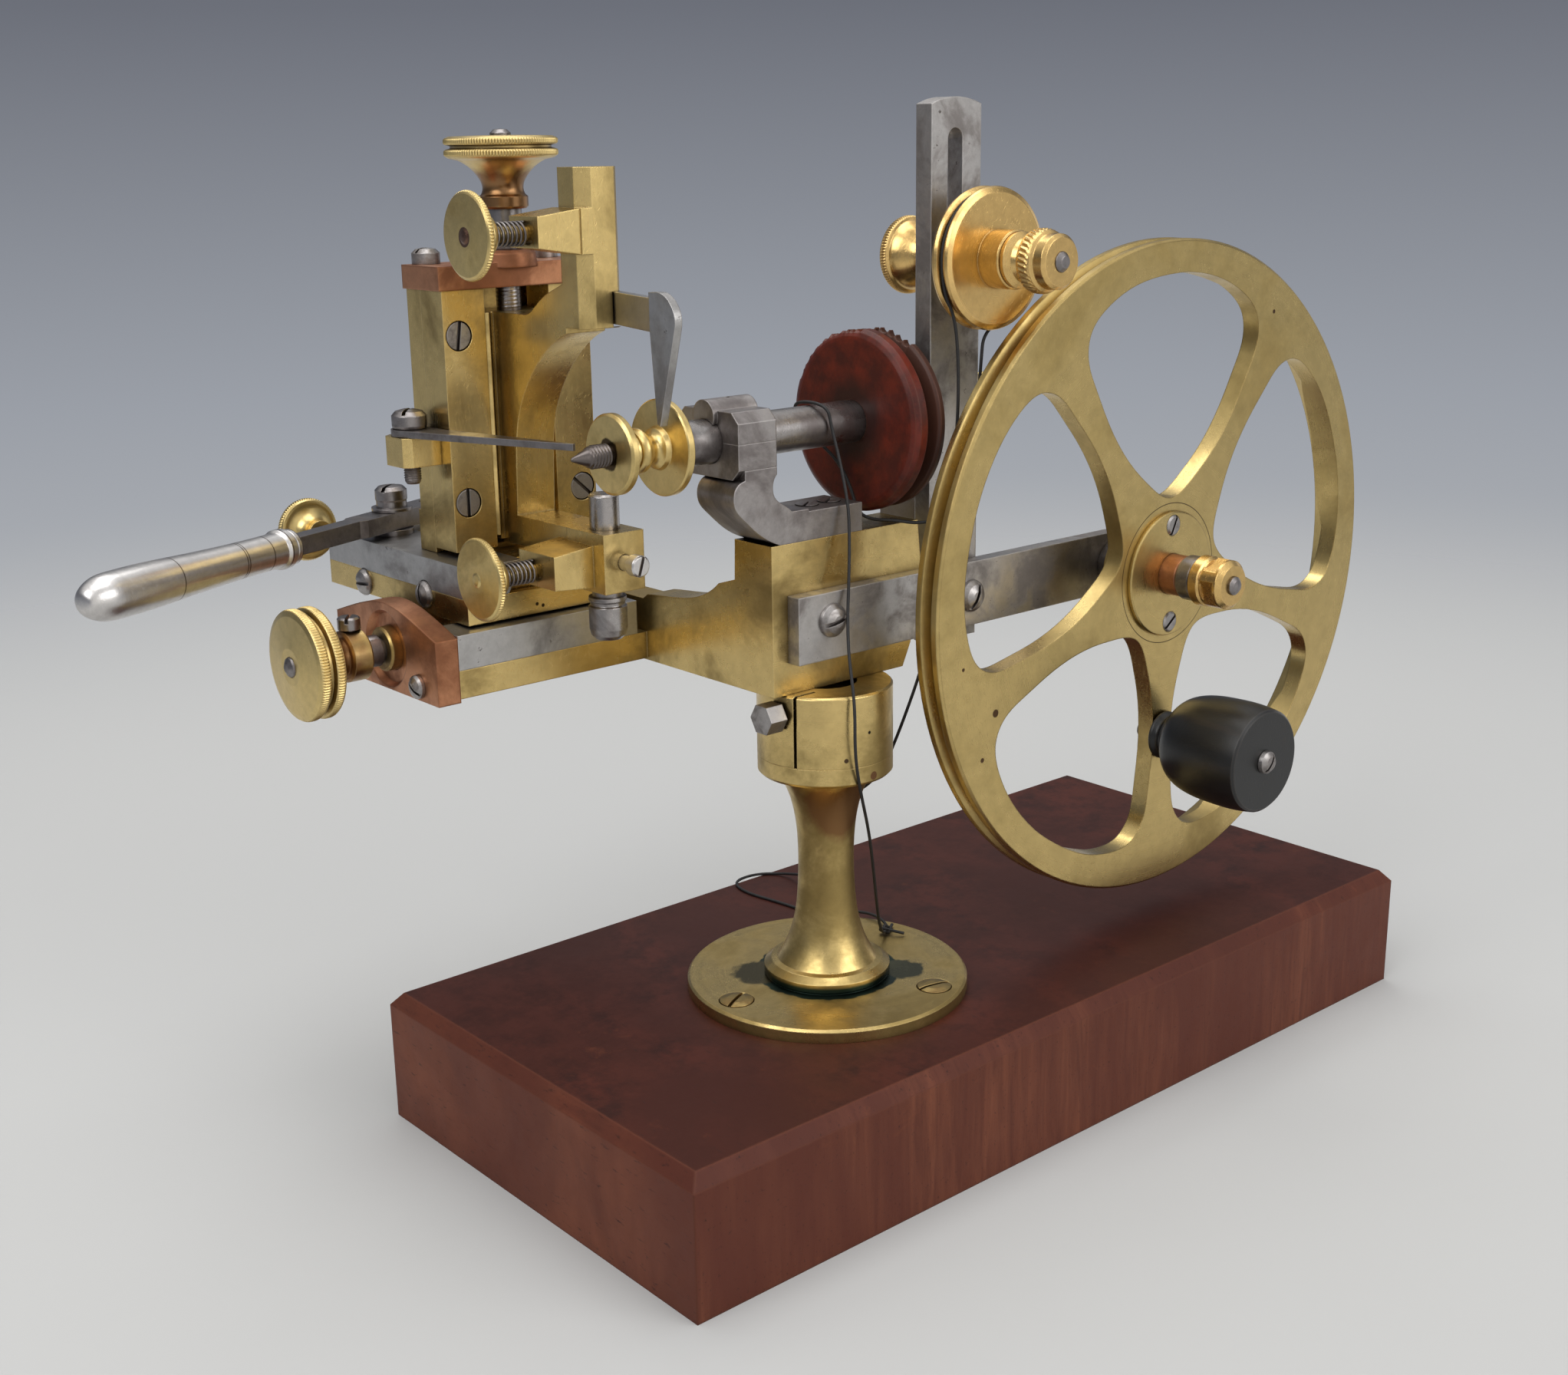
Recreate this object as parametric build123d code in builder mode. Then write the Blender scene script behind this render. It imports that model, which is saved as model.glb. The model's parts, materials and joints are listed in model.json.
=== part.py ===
# Wheel topping tool for clock wheels: a brass engine on a pillar, with a slide rest,
# a line-driven spindle and a hand-turned flywheel, on a mahogany board.
# Millimetres, +Z up, origin at the centre of the underside of the board.
import math
import os

from build123d import *

os.makedirs("parts", exist_ok=True)

# Board
board_l = 260.0
board_w = 125.1
board_h = 34.5
board_bevel_h = 3.3
board_bevel_in = 2.7

# Pillar and swivelling drum
pillar_x = -43.3
pillar_y = -8.1
flange_r = 35.7
flange_t = 3.4
foot_r = 16.0
foot_h = 4.0
waist_r = 7.0
drum_r = 16.8
drum_z0 = 92.1
drum_seam_z = 96.9
drum_top_z = 114.8
spigot_r = 8.0
fit = 0.05

# Main casting
front_y = -12.2
block_back_y = 1.3
cast_x0 = -63.1
block_top_z = 151.4
wing_t = 8.5
bed_y0 = 37.5
bed_y1 = 84.7
bed_x0 = -118.5
bed_bottom_z = 115.3
way_z0 = 122.2
way_z1 = 130.8
bed_mid_y = (bed_y0 + bed_y1) / 2
channel_w = 12.0

# Bed end plate and leadscrew
plate_t = 6.1
plate_x0 = bed_x0 - plate_t
screw_y = bed_mid_y
screw_z = 124.5
screw_r = 3.0
wheel_x0 = -150.0
wheel_r = 13.2

# Saddle
saddle_x0 = -112.6
saddle_x1 = -66.5
saddle_y0 = 41.7
saddle_y1 = 109.6
saddle_z0 = 131.4
saddle_z1 = 137.6
saddle_top_z = 145.4
slide_gap = 0.1

# Column on the cross slide
col_x0 = -107.7
col_x1 = -65.8
col_mid_x = (col_x0 + col_x1) / 2
col_y0 = 63.0
col_y1 = 70.2
col_z0 = 145.5
strip_y0 = 53.4
strip_z0 = 146.8
col_top_z = 209.3
strip_w = 11.7
foot_top_z = 145.3
top_plate_z1 = 214.9
vscrew_y = 57.0
vscrew_r = 3.0

# Vertical slide frame
rib_x0 = -92.3
rib_x1 = -81.4
slide_z0 = 148.0
slide_z1 = 203.5
post_y0 = 17.2
post_y1 = 25.9
post_z0 = 201.4
post_z1 = 237.1
block_y0 = 13.0
pin_x = -86.9
pin_y = 20.5
pin_r = 3.6
upper_thumb_y = 23.1
upper_thumb_z = 223.1
lower_thumb_y = 26.3
lower_thumb_z = 146.1
thumb_x0 = -119.2
thumb_r = 9.4
stem_r = 1.8
lug_x0 = -103.7
spring_wire_r = 0.3
spring_r = 2.5
spring_pitch = 1.15

# Lever
pivot_x = -102.5
pivot_y = 93.0
lever_z0 = 147.0
lever_z1 = 151.5
lever_angle = 201.6
lever_arm = 16.95

# Spindle
spin_y = -1.3
spin_z = 176.0
spin_r = 5.2
nose_r = 2.27
big_x0 = -86.6
big_r = 11.0
small_r = 9.1
pulley_x0 = -27.5
pulley_t = 10.5
pulley_r = 22.3

# Bars
hbar_t = 4.0
hbar_x0 = -58.4
hbar_x1 = 64.0
hbar_z0 = 122.6
hbar_z1 = 139.0
vbar_x0 = -11.5
vbar_x1 = 5.3
vbar_t = 5.2
vbar_top_z = 250.0

# Idler
idler_x = -3.5
idler_z = 214.4
idler_r = 16.8

# Flywheel
fly_x = 55.0
fly_z = 130.5
fly_y0 = -35.0
fly_r = 86.4
rim_t = 8.0
rim_w = 8.4
rim_in_r = fly_r - rim_w
web_t = 5.0
hub_t = 11.0
window_in_r = 20.2
bush_r = 5.4
axle_r = 3.0
handle_pitch_r = 44.5


def at_x(x):
    """Plane across X at x: sketch axes are Y and Z, extrusion goes to +X."""
    return Plane(origin=(x, 0, 0), x_dir=(0, 1, 0), z_dir=(1, 0, 0))


def at_y(y):
    """Plane across Y at y: sketch axes are X and Z, extrusion goes to -Y."""
    return Plane(origin=(0, y, 0), x_dir=(1, 0, 0), z_dir=(0, -1, 0))


def at_z(z):
    """Plane across Z at z: sketch axes are X and Y, extrusion goes to +Z."""
    return Plane(origin=(0, 0, z))


def lathe_x(y, z):
    """Plane for a turned profile about a line along X: sketch axes are X and radius."""
    return Plane(origin=(0, y, z), x_dir=(1, 0, 0), z_dir=(0, -1, 0))


def lathe_y(x, z):
    """Plane for a turned profile about a line along Y: sketch axes are Y and radius."""
    return Plane(origin=(x, 0, z), x_dir=(0, 1, 0), z_dir=(1, 0, 0))


def lathe_z(x, y):
    """Plane for a turned profile about a line along Z: sketch axes are Z and radius."""
    return Plane(origin=(x, y, 0), x_dir=(0, 0, 1), z_dir=(0, 1, 0))


# Board: a slab with the top edges bevelled all round, pilot holes for the flange screws.
flange_screw_pitch = 28.8
flange_screw_angles = (177.0, -63.5, 56.5)
flange_screw_xy = [
    (
        pillar_x + flange_screw_pitch * math.cos(math.radians(a)),
        pillar_y + flange_screw_pitch * math.sin(math.radians(a)),
    )
    for a in flange_screw_angles
]
flange_z = board_h
flange_top_z = flange_z + flange_t
with BuildPart() as base_board:
    with BuildSketch(at_z(0)):
        Rectangle(board_l, board_w)
    extrude(amount=board_h - board_bevel_h)
    with BuildSketch(at_z(board_h - board_bevel_h)):
        Rectangle(board_l, board_w)
    extrude(amount=board_bevel_h, taper=math.degrees(math.atan2(board_bevel_in, board_bevel_h)))
    for sx, sy in flange_screw_xy:
        with BuildSketch(at_z(board_h - 14.0)):
            with Locations((sx, sy)):
                Circle(1.6)
        extrude(amount=14.0, mode=Mode.SUBTRACT)
base_board.part.label = "base_board"
export_step(base_board.part, "parts/base_board.step")

# Pillar: round flange, foot collar, waisted column, drum seat and the spigot of the swivel.
with BuildPart() as pillar:
    with BuildSketch(lathe_z(pillar_x, pillar_y)):
        with BuildLine():
            Polyline(
                (flange_z, 0),
                (flange_z, flange_r),
                (flange_z + flange_t - 0.6, flange_r),
                (flange_top_z, flange_r - 0.6),
                (flange_top_z, foot_r - 0.4),
                (flange_top_z + 0.5, foot_r),
                (flange_top_z + foot_h - 1.4, foot_r),
                (flange_top_z + foot_h, foot_r - 1.8),
                (flange_top_z + foot_h + 0.2, 12.6),
            )
            Spline(
                (flange_top_z + foot_h + 0.2, 12.6),
                (46.0, 10.4),
                (52.0, 8.4),
                (60.0, 7.3),
                (69.0, waist_r),
                (79.0, 7.6),
                (86.5, 9.4),
                (drum_z0, 12.4),
            )
            Polyline(
                (drum_z0, 12.4),
                (drum_z0, drum_r - 0.7),
                (drum_z0 + 0.7, drum_r),
                (drum_seam_z, drum_r),
                (drum_seam_z, spigot_r),
                (drum_top_z - 3.0, spigot_r),
                (drum_top_z - 2.2, spigot_r - 0.8),
                (drum_top_z - 2.2, 0),
                (flange_z, 0),
            )
        make_face()
    revolve(axis=Axis((pillar_x, pillar_y, 0), (0, 0, 1)))
    for sx, sy in flange_screw_xy:
        with BuildSketch(lathe_z(sx, sy)):
            Polygon(
                (flange_z - 1, 0), (flange_z - 1, 2.1), (flange_z + 1.2, 2.1),
                (flange_top_z, 4.5), (flange_top_z + 1, 4.5), (flange_top_z + 1, 0),
                align=None,
            )
        revolve(axis=Axis((sx, sy, 0), (0, 0, 1)), mode=Mode.SUBTRACT)
pillar.part.label = "pillar"
export_step(pillar.part, "parts/pillar.step")

# Flange screws: three countersunk wood screws, slotted, with the heads flush.
with BuildPart() as flange_screws:
    for sx, sy in flange_screw_xy:
        with BuildSketch(lathe_z(sx, sy)):
            Polygon(
                (flange_z - 12.0, 0), (flange_z - 9.0, 1.6), (flange_z, 1.6), (flange_z, 2.0),
                (flange_z + 1.3, 2.0), (flange_top_z - 0.1, 4.2), (flange_top_z + 0.15, 4.2),
                (flange_top_z + 0.45, 2.4), (flange_top_z + 0.5, 0),
                align=None,
            )
        revolve(axis=Axis((sx, sy, 0), (0, 0, 1)))
    for (sx, sy), turn in zip(flange_screw_xy, (25.0, -12.0, 70.0)):
        with BuildSketch(Plane(origin=(sx, sy, flange_top_z - 0.5), x_dir=(
                math.cos(math.radians(turn)), math.sin(math.radians(turn)), 0), z_dir=(0, 0, 1))):
            Rectangle(10.0, 0.9)
        extrude(amount=2.0, mode=Mode.SUBTRACT)
flange_screws.part.label = "flange_screws"
export_step(flange_screws.part, "parts/flange_screws.step")

# Swivel drum: the ring that turns on the spigot and carries the casting; clamp slit at the left.
drum_screw_y = pillar_y - 2.0
drum_screw_z = 109.5
with BuildPart() as swivel_drum:
    with BuildSketch(lathe_z(pillar_x, pillar_y)):
        Polygon(
            (drum_seam_z, spigot_r + fit), (drum_seam_z, drum_r), (drum_top_z - 0.5, drum_r),
            (drum_top_z, drum_r - 0.5), (drum_top_z, spigot_r + fit),
            align=None,
        )
    revolve(axis=Axis((pillar_x, pillar_y, 0), (0, 0, 1)))
    with BuildSketch(at_z(drum_seam_z)):
        with Locations((pillar_x - drum_r, pillar_y - 6.5)):
            Rectangle(16.0, 0.8)
    extrude(amount=drum_top_z - drum_seam_z, mode=Mode.SUBTRACT)
    with BuildSketch(at_x(pillar_x - drum_r - 3)):
        with Locations((drum_screw_y, drum_screw_z)):
            Circle(2.0)
    extrude(amount=10.0, mode=Mode.SUBTRACT)
swivel_drum.part.label = "swivel_drum"
export_step(swivel_drum.part, "parts/swivel_drum.step")

# Drum clamp screw: square steel head standing out at the left of the drum.
with BuildPart() as drum_clamp_screw:
    with BuildSketch(at_x(pillar_x - drum_r - 5.4)):
        with Locations((drum_screw_y, drum_screw_z)):
            RegularPolygon(3.9, 6)
    extrude(amount=5.0)
    with BuildSketch(at_x(pillar_x - drum_r - 0.4)):
        with Locations((drum_screw_y, drum_screw_z)):
            Circle(1.95)
    extrude(amount=7.0)
drum_clamp_screw.part.label = "drum_clamp_screw"
export_step(drum_clamp_screw.part, "parts/drum_clamp_screw.step")

# Main casting: block on the drum, sweeping wing plate, and the bed for the slide rest.
with BuildPart() as main_casting:
    with BuildSketch(at_y(block_back_y)):
        Polygon(
            (cast_x0, drum_top_z), (-20.6, drum_top_z), (-17.9, 120.6), (-14.3, 140.0),
            (-15.6, block_top_z), (cast_x0, block_top_z),
            align=None,
        )
    extrude(amount=block_back_y - front_y)
    with BuildSketch(at_x(cast_x0)):
        with BuildLine():
            Polyline((block_back_y - 2, drum_top_z), (block_back_y - 2, block_top_z - 1),
                     (block_back_y, block_top_z - 1), (1.6, 141.5), (7.8, 139.6))
            Spline((7.8, 139.6), (11.2, 137.1), (16.5, 134.8), (21.5, 133.7), (28.4, 132.9),
                   (36.6, 132.1))
            Polyline((36.6, 132.1), (bed_y0 + 1, way_z1), (bed_y1, way_z1), (bed_y1, drum_top_z),
                     (block_back_y - 2, drum_top_z))
        make_face()
    extrude(amount=wing_t)
    with BuildSketch(at_x(bed_x0)):
        Polygon((bed_y0, bed_bottom_z), (bed_y1, bed_bottom_z), (bed_y1, way_z0),
                (bed_y0, way_z0), align=None)
    extrude(amount=cast_x0 - bed_x0 + 1)
    with BuildSketch(at_x(bed_x0)):
        with Locations((bed_mid_y, way_z0)):
            Rectangle(channel_w, 7.6)
    extrude(amount=cast_x0 - bed_x0 - 3.0, mode=Mode.SUBTRACT)
    with BuildSketch(at_x(bed_x0)):
        with Locations((46.2, 117.9), (76.0, 117.9)):
            Circle(1.5)
    extrude(amount=9.0, mode=Mode.SUBTRACT)
    with BuildSketch(at_y(front_y)):
        with Locations((-47.9, 132.1)):
            Circle(1.8)
    extrude(amount=-10.0, mode=Mode.SUBTRACT)
    with BuildSketch(at_z(block_top_z)):
        with Locations((-46.0, -5.4), (-39.0, -5.4)):
            Circle(1.8)
    extrude(amount=-8.0, mode=Mode.SUBTRACT)
main_casting.part.label = "main_casting"
export_step(main_casting.part, "parts/main_casting.step")

# Bed ways: two steel strips with sloping inner flanks, let on to the bed.
way_x1 = -66.0
way_w = 11.5
flank = (way_z1 - way_z0) / math.tan(math.radians(60.0))
with BuildPart() as bed_ways:
    with BuildSketch(at_x(bed_x0)):
        Polygon((bed_y0, way_z0), (bed_y0 + way_w - flank, way_z0), (bed_y0 + way_w, way_z1),
                (bed_y0, way_z1), align=None)
    extrude(amount=way_x1 - bed_x0)
    with BuildSketch(at_x(bed_x0)):
        Polygon((bed_y1, way_z0), (bed_y1, way_z1), (bed_y1 - way_w, way_z1),
                (bed_y1 - way_w + flank, way_z0), align=None)
    extrude(amount=way_x1 - bed_x0)
bed_ways.part.label = "bed_ways"
export_step(bed_ways.part, "parts/bed_ways.step")

# Bed end plate: copper plate with an arched top and a round recess about the leadscrew.
with BuildPart() as bed_end_plate:
    with BuildSketch(at_x(plate_x0)):
        with BuildLine():
            Polyline((bed_y0, 130.2), (bed_y0, 114.4), (bed_y1, 114.4), (bed_y1, 130.2))
            Spline((bed_y1, 130.2), (75.5, 133.2), (bed_mid_y, 136.0), (46.7, 133.2),
                   (bed_y0, 130.2))
        make_face()
    extrude(amount=plate_t)
    with BuildSketch(lathe_x(screw_y, screw_z)):
        Polygon((plate_x0 - 1, 0), (plate_x0 - 1, 10.2), (plate_x0 + 1.6, 8.6),
                (plate_x0 + 1.6, 5.5), (bed_x0 + 1, 5.5), (bed_x0 + 1, 0), align=None)
    revolve(axis=Axis((0, screw_y, screw_z), (1, 0, 0)), mode=Mode.SUBTRACT)
    with BuildSketch(at_x(plate_x0)):
        with Locations((46.2, 117.9), (76.0, 117.9)):
            Circle(1.5)
    extrude(amount=plate_t, mode=Mode.SUBTRACT)
bed_end_plate.part.label = "bed_end_plate"
export_step(bed_end_plate.part, "parts/bed_end_plate.step")

# End plate screws: two domed, slotted steel screws.
with BuildPart() as end_plate_screws:
    for sy in (46.2, 76.0):
        with BuildSketch(lathe_x(sy, 117.9)):
            Polygon((plate_x0 - 2.3, 0), (plate_x0 - 2.2, 1.2), (plate_x0 - 1.5, 2.5),
                    (plate_x0 - 0.9, 2.9), (plate_x0, 2.9), (plate_x0, 1.45),
                    (bed_x0 + 8.0, 1.45), (bed_x0 + 8.8, 0), align=None)
        revolve(axis=Axis((0, sy, 117.9), (1, 0, 0)))
    for sy, turn in ((46.2, 35.0), (76.0, 80.0)):
        with BuildSketch(Plane(origin=(plate_x0 - 3, sy, 117.9), x_dir=(
                0, math.cos(math.radians(turn)), math.sin(math.radians(turn))), z_dir=(1, 0, 0))):
            Rectangle(7.0, 0.8)
        extrude(amount=2.0, mode=Mode.SUBTRACT)
end_plate_screws.part.label = "end_plate_screws"
export_step(end_plate_screws.part, "parts/end_plate_screws.step")

# Leadscrew bush: brass ring in the recess of the end plate.
with BuildPart() as leadscrew_bush:
    with BuildSketch(lathe_x(screw_y, screw_z)):
        Polygon((plate_x0 - 1.4, screw_r + fit), (plate_x0 - 1.4, 5.0), (plate_x0 - 0.9, 5.5),
                (bed_x0, 5.5), (bed_x0, screw_r + fit), align=None)
    revolve(axis=Axis((0, screw_y, screw_z), (1, 0, 0)))
leadscrew_bush.part.label = "leadscrew_bush"
export_step(leadscrew_bush.part, "parts/leadscrew_bush.step")

# Bed leadscrew: steel screw with a thrust collar outside the bush; its cap screw and grub screw
# are separate solids in the same node.
wheel_bore_r = 3.0
cap_x0 = wheel_x0 - 1.3
grub_x = -134.0
with BuildPart() as bed_leadscrew:
    with BuildSketch(lathe_x(screw_y, screw_z)):
        Polygon((-144.0, 0), (-144.0, wheel_bore_r), (-131.0, wheel_bore_r), (-131.0, 3.9),
                (-127.2, 3.9), (-127.2, screw_r), (-68.0, screw_r), (-67.0, 2.0), (-67.0, 0),
                align=None)
    revolve(axis=Axis((0, screw_y, screw_z), (1, 0, 0)))
    with BuildSketch(lathe_x(screw_y, screw_z)):
        Polygon((cap_x0, 0), (cap_x0 + 0.1, 1.0), (cap_x0 + 0.9, 2.3), (cap_x0 + 1.4, 2.5),
                (-144.0, 2.5), (-144.0, 0), align=None)
    revolve(axis=Axis((0, screw_y, screw_z), (1, 0, 0)), mode=Mode.ADD)
    with BuildSketch(lathe_z(grub_x, screw_y)):
        Polygon((screw_z + wheel_bore_r, 0), (screw_z + wheel_bore_r, 1.4), (screw_z + 6.6, 1.4),
                (screw_z + 6.6, 2.75), (screw_z + 9.2, 2.75), (screw_z + 9.6, 2.3),
                (screw_z + 9.6, 0), align=None)
    revolve(axis=Axis((grub_x, screw_y, 0), (0, 0, 1)))
    with BuildSketch(at_z(screw_z + 8.3)):
        with Locations(Location((grub_x, screw_y), 50)):
            Rectangle(7.0, 0.8)
    extrude(amount=2.0, mode=Mode.SUBTRACT)
bed_leadscrew.part.label = "bed_leadscrew"
export_step(bed_leadscrew.part, "parts/bed_leadscrew.step")

# Bed handwheel: twin-rimmed brass wheel with a trumpet neck and a round collar.
with BuildPart() as bed_handwheel:
    with BuildSketch(lathe_x(screw_y, screw_z)):
        with BuildLine():
            Polyline((-144.0, wheel_bore_r), (-144.0, 2.5), (wheel_x0, 2.5), (wheel_x0, 4.5),
                     (wheel_x0 + 0.9, wheel_r - 1.2), (wheel_x0 + 1.3, wheel_r),
                     (wheel_x0 + 3.7, wheel_r), (wheel_x0 + 4.1, wheel_r - 1.3),
                     (wheel_x0 + 4.9, wheel_r - 1.3), (wheel_x0 + 5.3, wheel_r),
                     (wheel_x0 + 7.5, wheel_r), (wheel_x0 + 8.1, wheel_r - 1.0),
                     (wheel_x0 + 8.6, 8.6))
            Spline((wheel_x0 + 8.6, 8.6), (-139.9, 5.9), (-138.0, 4.7), (-136.6, 4.6))
            Polyline((-136.6, 4.6), (-136.6, 5.6), (-136.1, 6.3), (-131.6, 6.3), (-131.1, 5.8),
                     (-131.1, wheel_bore_r), (-144.0, wheel_bore_r))
        make_face()
    revolve(axis=Axis((0, screw_y, screw_z), (1, 0, 0)))
    with BuildSketch(at_z(screw_z)):
        with Locations((grub_x, screw_y)):
            Circle(1.4)
    extrude(amount=10.0, mode=Mode.SUBTRACT)
bed_handwheel.part.label = "bed_handwheel"
export_step(bed_handwheel.part, "parts/bed_handwheel.step")

# Saddle: brass plate with a dovetail tongue in the bed and a nut about the leadscrew.
nut_x0 = -93.0
nut_x1 = -81.0
with BuildPart() as saddle_base:
    with BuildSketch(at_z(saddle_z0)):
        Polygon((saddle_x0, saddle_y0), (saddle_x1, saddle_y0), (saddle_x1, saddle_y1),
                (saddle_x0, saddle_y1), align=None)
    extrude(amount=saddle_z1 - saddle_z0)
    tongue_g = slide_gap / math.sin(math.radians(60.0))
    with BuildSketch(at_x(saddle_x0 + 2.0)):
        Polygon(
            (bed_y0 + way_w - flank + tongue_g, way_z0 + fit),
            (bed_y0 + way_w + tongue_g, way_z1),
            (bed_y0 + way_w + tongue_g, saddle_z0 + 1),
            (bed_y1 - way_w - tongue_g, saddle_z0 + 1),
            (bed_y1 - way_w - tongue_g, way_z1),
            (bed_y1 - way_w + flank - tongue_g, way_z0 + fit),
            align=None,
        )
    extrude(amount=saddle_x1 - saddle_x0 - 4.0)
    with BuildSketch(at_x(saddle_x0)):
        Polygon((screw_y - 4.2, way_z0 - 2), (screw_y + 4.2, way_z0 - 2),
                (screw_y + 4.2, screw_z + 4.4), (screw_y - 4.2, screw_z + 4.4), align=None)
    extrude(amount=saddle_x1 - saddle_x0, mode=Mode.SUBTRACT)
    with BuildSketch(at_x(nut_x0)):
        Polygon((screw_y - 5.4, 119.0), (screw_y + 5.4, 119.0), (screw_y + 5.4, saddle_z0 - 1),
                (screw_y - 5.4, saddle_z0 - 1), align=None)
    extrude(amount=nut_x1 - nut_x0)
    with BuildSketch(at_x(nut_x0 - 1)):
        with Locations((screw_y, screw_z)):
            Circle(screw_r + fit)
    extrude(amount=nut_x1 - nut_x0 + 2, mode=Mode.SUBTRACT)
    with BuildSketch(at_x(saddle_x0)):
        with Locations((91.4, 134.3), (61.3, 136.0)):
            Circle(1.5)
    extrude(amount=8.0, mode=Mode.SUBTRACT)
saddle_base.part.label = "saddle_base"
export_step(saddle_base.part, "parts/saddle_base.step")

# Saddle ways: two steel strips along Y with sloping inner flanks; the left one takes the lever
# pivot.
lway_top = -96.4
rway_top = 2 * col_mid_x - lway_top
stud_z0 = 140.5
sflank = (saddle_top_z - saddle_z1) / math.tan(math.radians(60.0))
with BuildPart() as saddle_ways:
    with BuildSketch(at_y(saddle_y1)):
        Polygon((saddle_x0, saddle_z1), (lway_top - sflank, saddle_z1), (lway_top, saddle_top_z),
                (saddle_x0, saddle_top_z), align=None)
    extrude(amount=saddle_y1 - saddle_y0)
    with BuildSketch(at_y(saddle_y1)):
        Polygon((saddle_x1, saddle_z1), (saddle_x1, saddle_top_z), (rway_top, saddle_top_z),
                (rway_top + sflank, saddle_z1), align=None)
    extrude(amount=saddle_y1 - saddle_y0)
    with BuildSketch(at_z(stud_z0)):
        with Locations((pivot_x, pivot_y)):
            Circle(2.0)
    extrude(amount=10.0, mode=Mode.SUBTRACT)
    with BuildSketch(at_y(saddle_y1)):
        with Locations((-106.4, 141.3)):
            Circle(1.95)
    extrude(amount=12.0, mode=Mode.SUBTRACT)
    with BuildSketch(at_x(saddle_x0)):
        with Locations((61.3, 136.0), (91.4, 134.3)):
            Circle(3.6)
    extrude(amount=0.8, mode=Mode.SUBTRACT)
saddle_ways.part.label = "saddle_ways"
export_step(saddle_ways.part, "parts/saddle_ways.step")

# Saddle screws: two round-headed slotted steel screws in the left face.
with BuildPart() as saddle_screws:
    for sy, sz in ((91.4, 134.3), (61.3, 136.0)):
        with BuildSketch(lathe_x(sy, sz)):
            Polygon((saddle_x0 - 2.0, 0), (saddle_x0 - 1.9, 1.4), (saddle_x0 - 1.2, 2.8),
                    (saddle_x0 - 0.5, 3.4), (saddle_x0, 3.5), (saddle_x0, 1.45),
                    (saddle_x0 + 7.5, 1.45), (saddle_x0 + 7.9, 0), align=None)
        revolve(axis=Axis((0, sy, sz), (1, 0, 0)))
    for sy, sz, turn in ((91.4, 134.3, 0.0), (61.3, 136.0, 78.0)):
        with BuildSketch(Plane(origin=(saddle_x0 - 3, sy, sz), x_dir=(
                0, math.cos(math.radians(turn)), math.sin(math.radians(turn))), z_dir=(1, 0, 0))):
            Rectangle(8.0, 0.9)
        extrude(amount=2.2, mode=Mode.SUBTRACT)
saddle_screws.part.label = "saddle_screws"
export_step(saddle_screws.part, "parts/saddle_screws.step")

# Rear stop screw: steel rod in the end of the left way.
stop_x = -106.4
stop_z = 141.3
knob_y0 = 131.6
with BuildPart() as rear_stop_screw:
    with BuildSketch(lathe_y(stop_x, stop_z)):
        Polygon((saddle_y1 - 10.0, 0), (saddle_y1 - 10.0, 1.9), (knob_y0 + 5.0, 1.9),
                (knob_y0 + 5.0, 0), align=None)
    revolve(axis=Axis((stop_x, 0, stop_z), (0, 1, 0)))
rear_stop_screw.part.label = "rear_stop_screw"
export_step(rear_stop_screw.part, "parts/rear_stop_screw.step")

# Rear stop knob: brass disc with a dished neck towards the saddle.
with BuildPart() as rear_stop_knob:
    with BuildSketch(lathe_y(stop_x, stop_z)):
        with BuildLine():
            Polyline((knob_y0 - 6.0, 1.9), (knob_y0 - 6.0, 3.4), (knob_y0 - 4.6, 3.4))
            Spline((knob_y0 - 4.6, 3.4), (knob_y0 - 2.0, 3.7), (knob_y0 - 0.3, 5.4),
                   (knob_y0 + 0.2, 7.4))
            Polyline((knob_y0 + 0.2, 7.4), (knob_y0 + 0.4, 8.1), (knob_y0 + 0.9, 8.3),
                     (knob_y0 + 2.6, 8.3), (knob_y0 + 3.2, 7.7), (knob_y0 + 5.0, 3.0),
                     (knob_y0 + 5.0, 1.9), (knob_y0 - 6.0, 1.9))
        make_face()
    revolve(axis=Axis((stop_x, 0, stop_z), (0, 1, 0)))
rear_stop_knob.part.label = "rear_stop_knob"
export_step(rear_stop_knob.part, "parts/rear_stop_knob.step")

# Feed lever: flat steel bar, thicker about the pivot, with a slot over the pin of the cross slide.
lever_mid_z = (lever_z0 + lever_z1) / 2
lever_plane = Plane(
    origin=(pivot_x, pivot_y, lever_z0),
    x_dir=(math.cos(math.radians(lever_angle)), math.sin(math.radians(lever_angle)), 0),
    z_dir=(0, 0, 1),
)
lever_dir = lever_plane.x_dir
ferrule_s = 42.3
with BuildPart() as feed_lever:
    with BuildSketch(lever_plane):
        Polygon((-21.5, -3.6), (-23.0, -2.0), (-23.0, 2.0), (-21.5, 3.6), (14.0, 3.6),
                (16.0, 2.5), (38.5, 2.2), (38.5, -2.2), (16.0, -2.5), (14.0, -3.6), align=None)
    extrude(amount=lever_z1 - lever_z0)
    with BuildSketch(lever_plane):
        Circle(2.55)
    extrude(amount=lever_z1 - lever_z0, mode=Mode.SUBTRACT)
    with BuildSketch(lever_plane):
        with Locations((-lever_arm, 0)):
            SlotCenterToCenter(5.0, 4.0)
    extrude(amount=lever_z1 - lever_z0, mode=Mode.SUBTRACT)
feed_lever.part.label = "feed_lever"
export_step(feed_lever.part, "parts/feed_lever.step")

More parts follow.
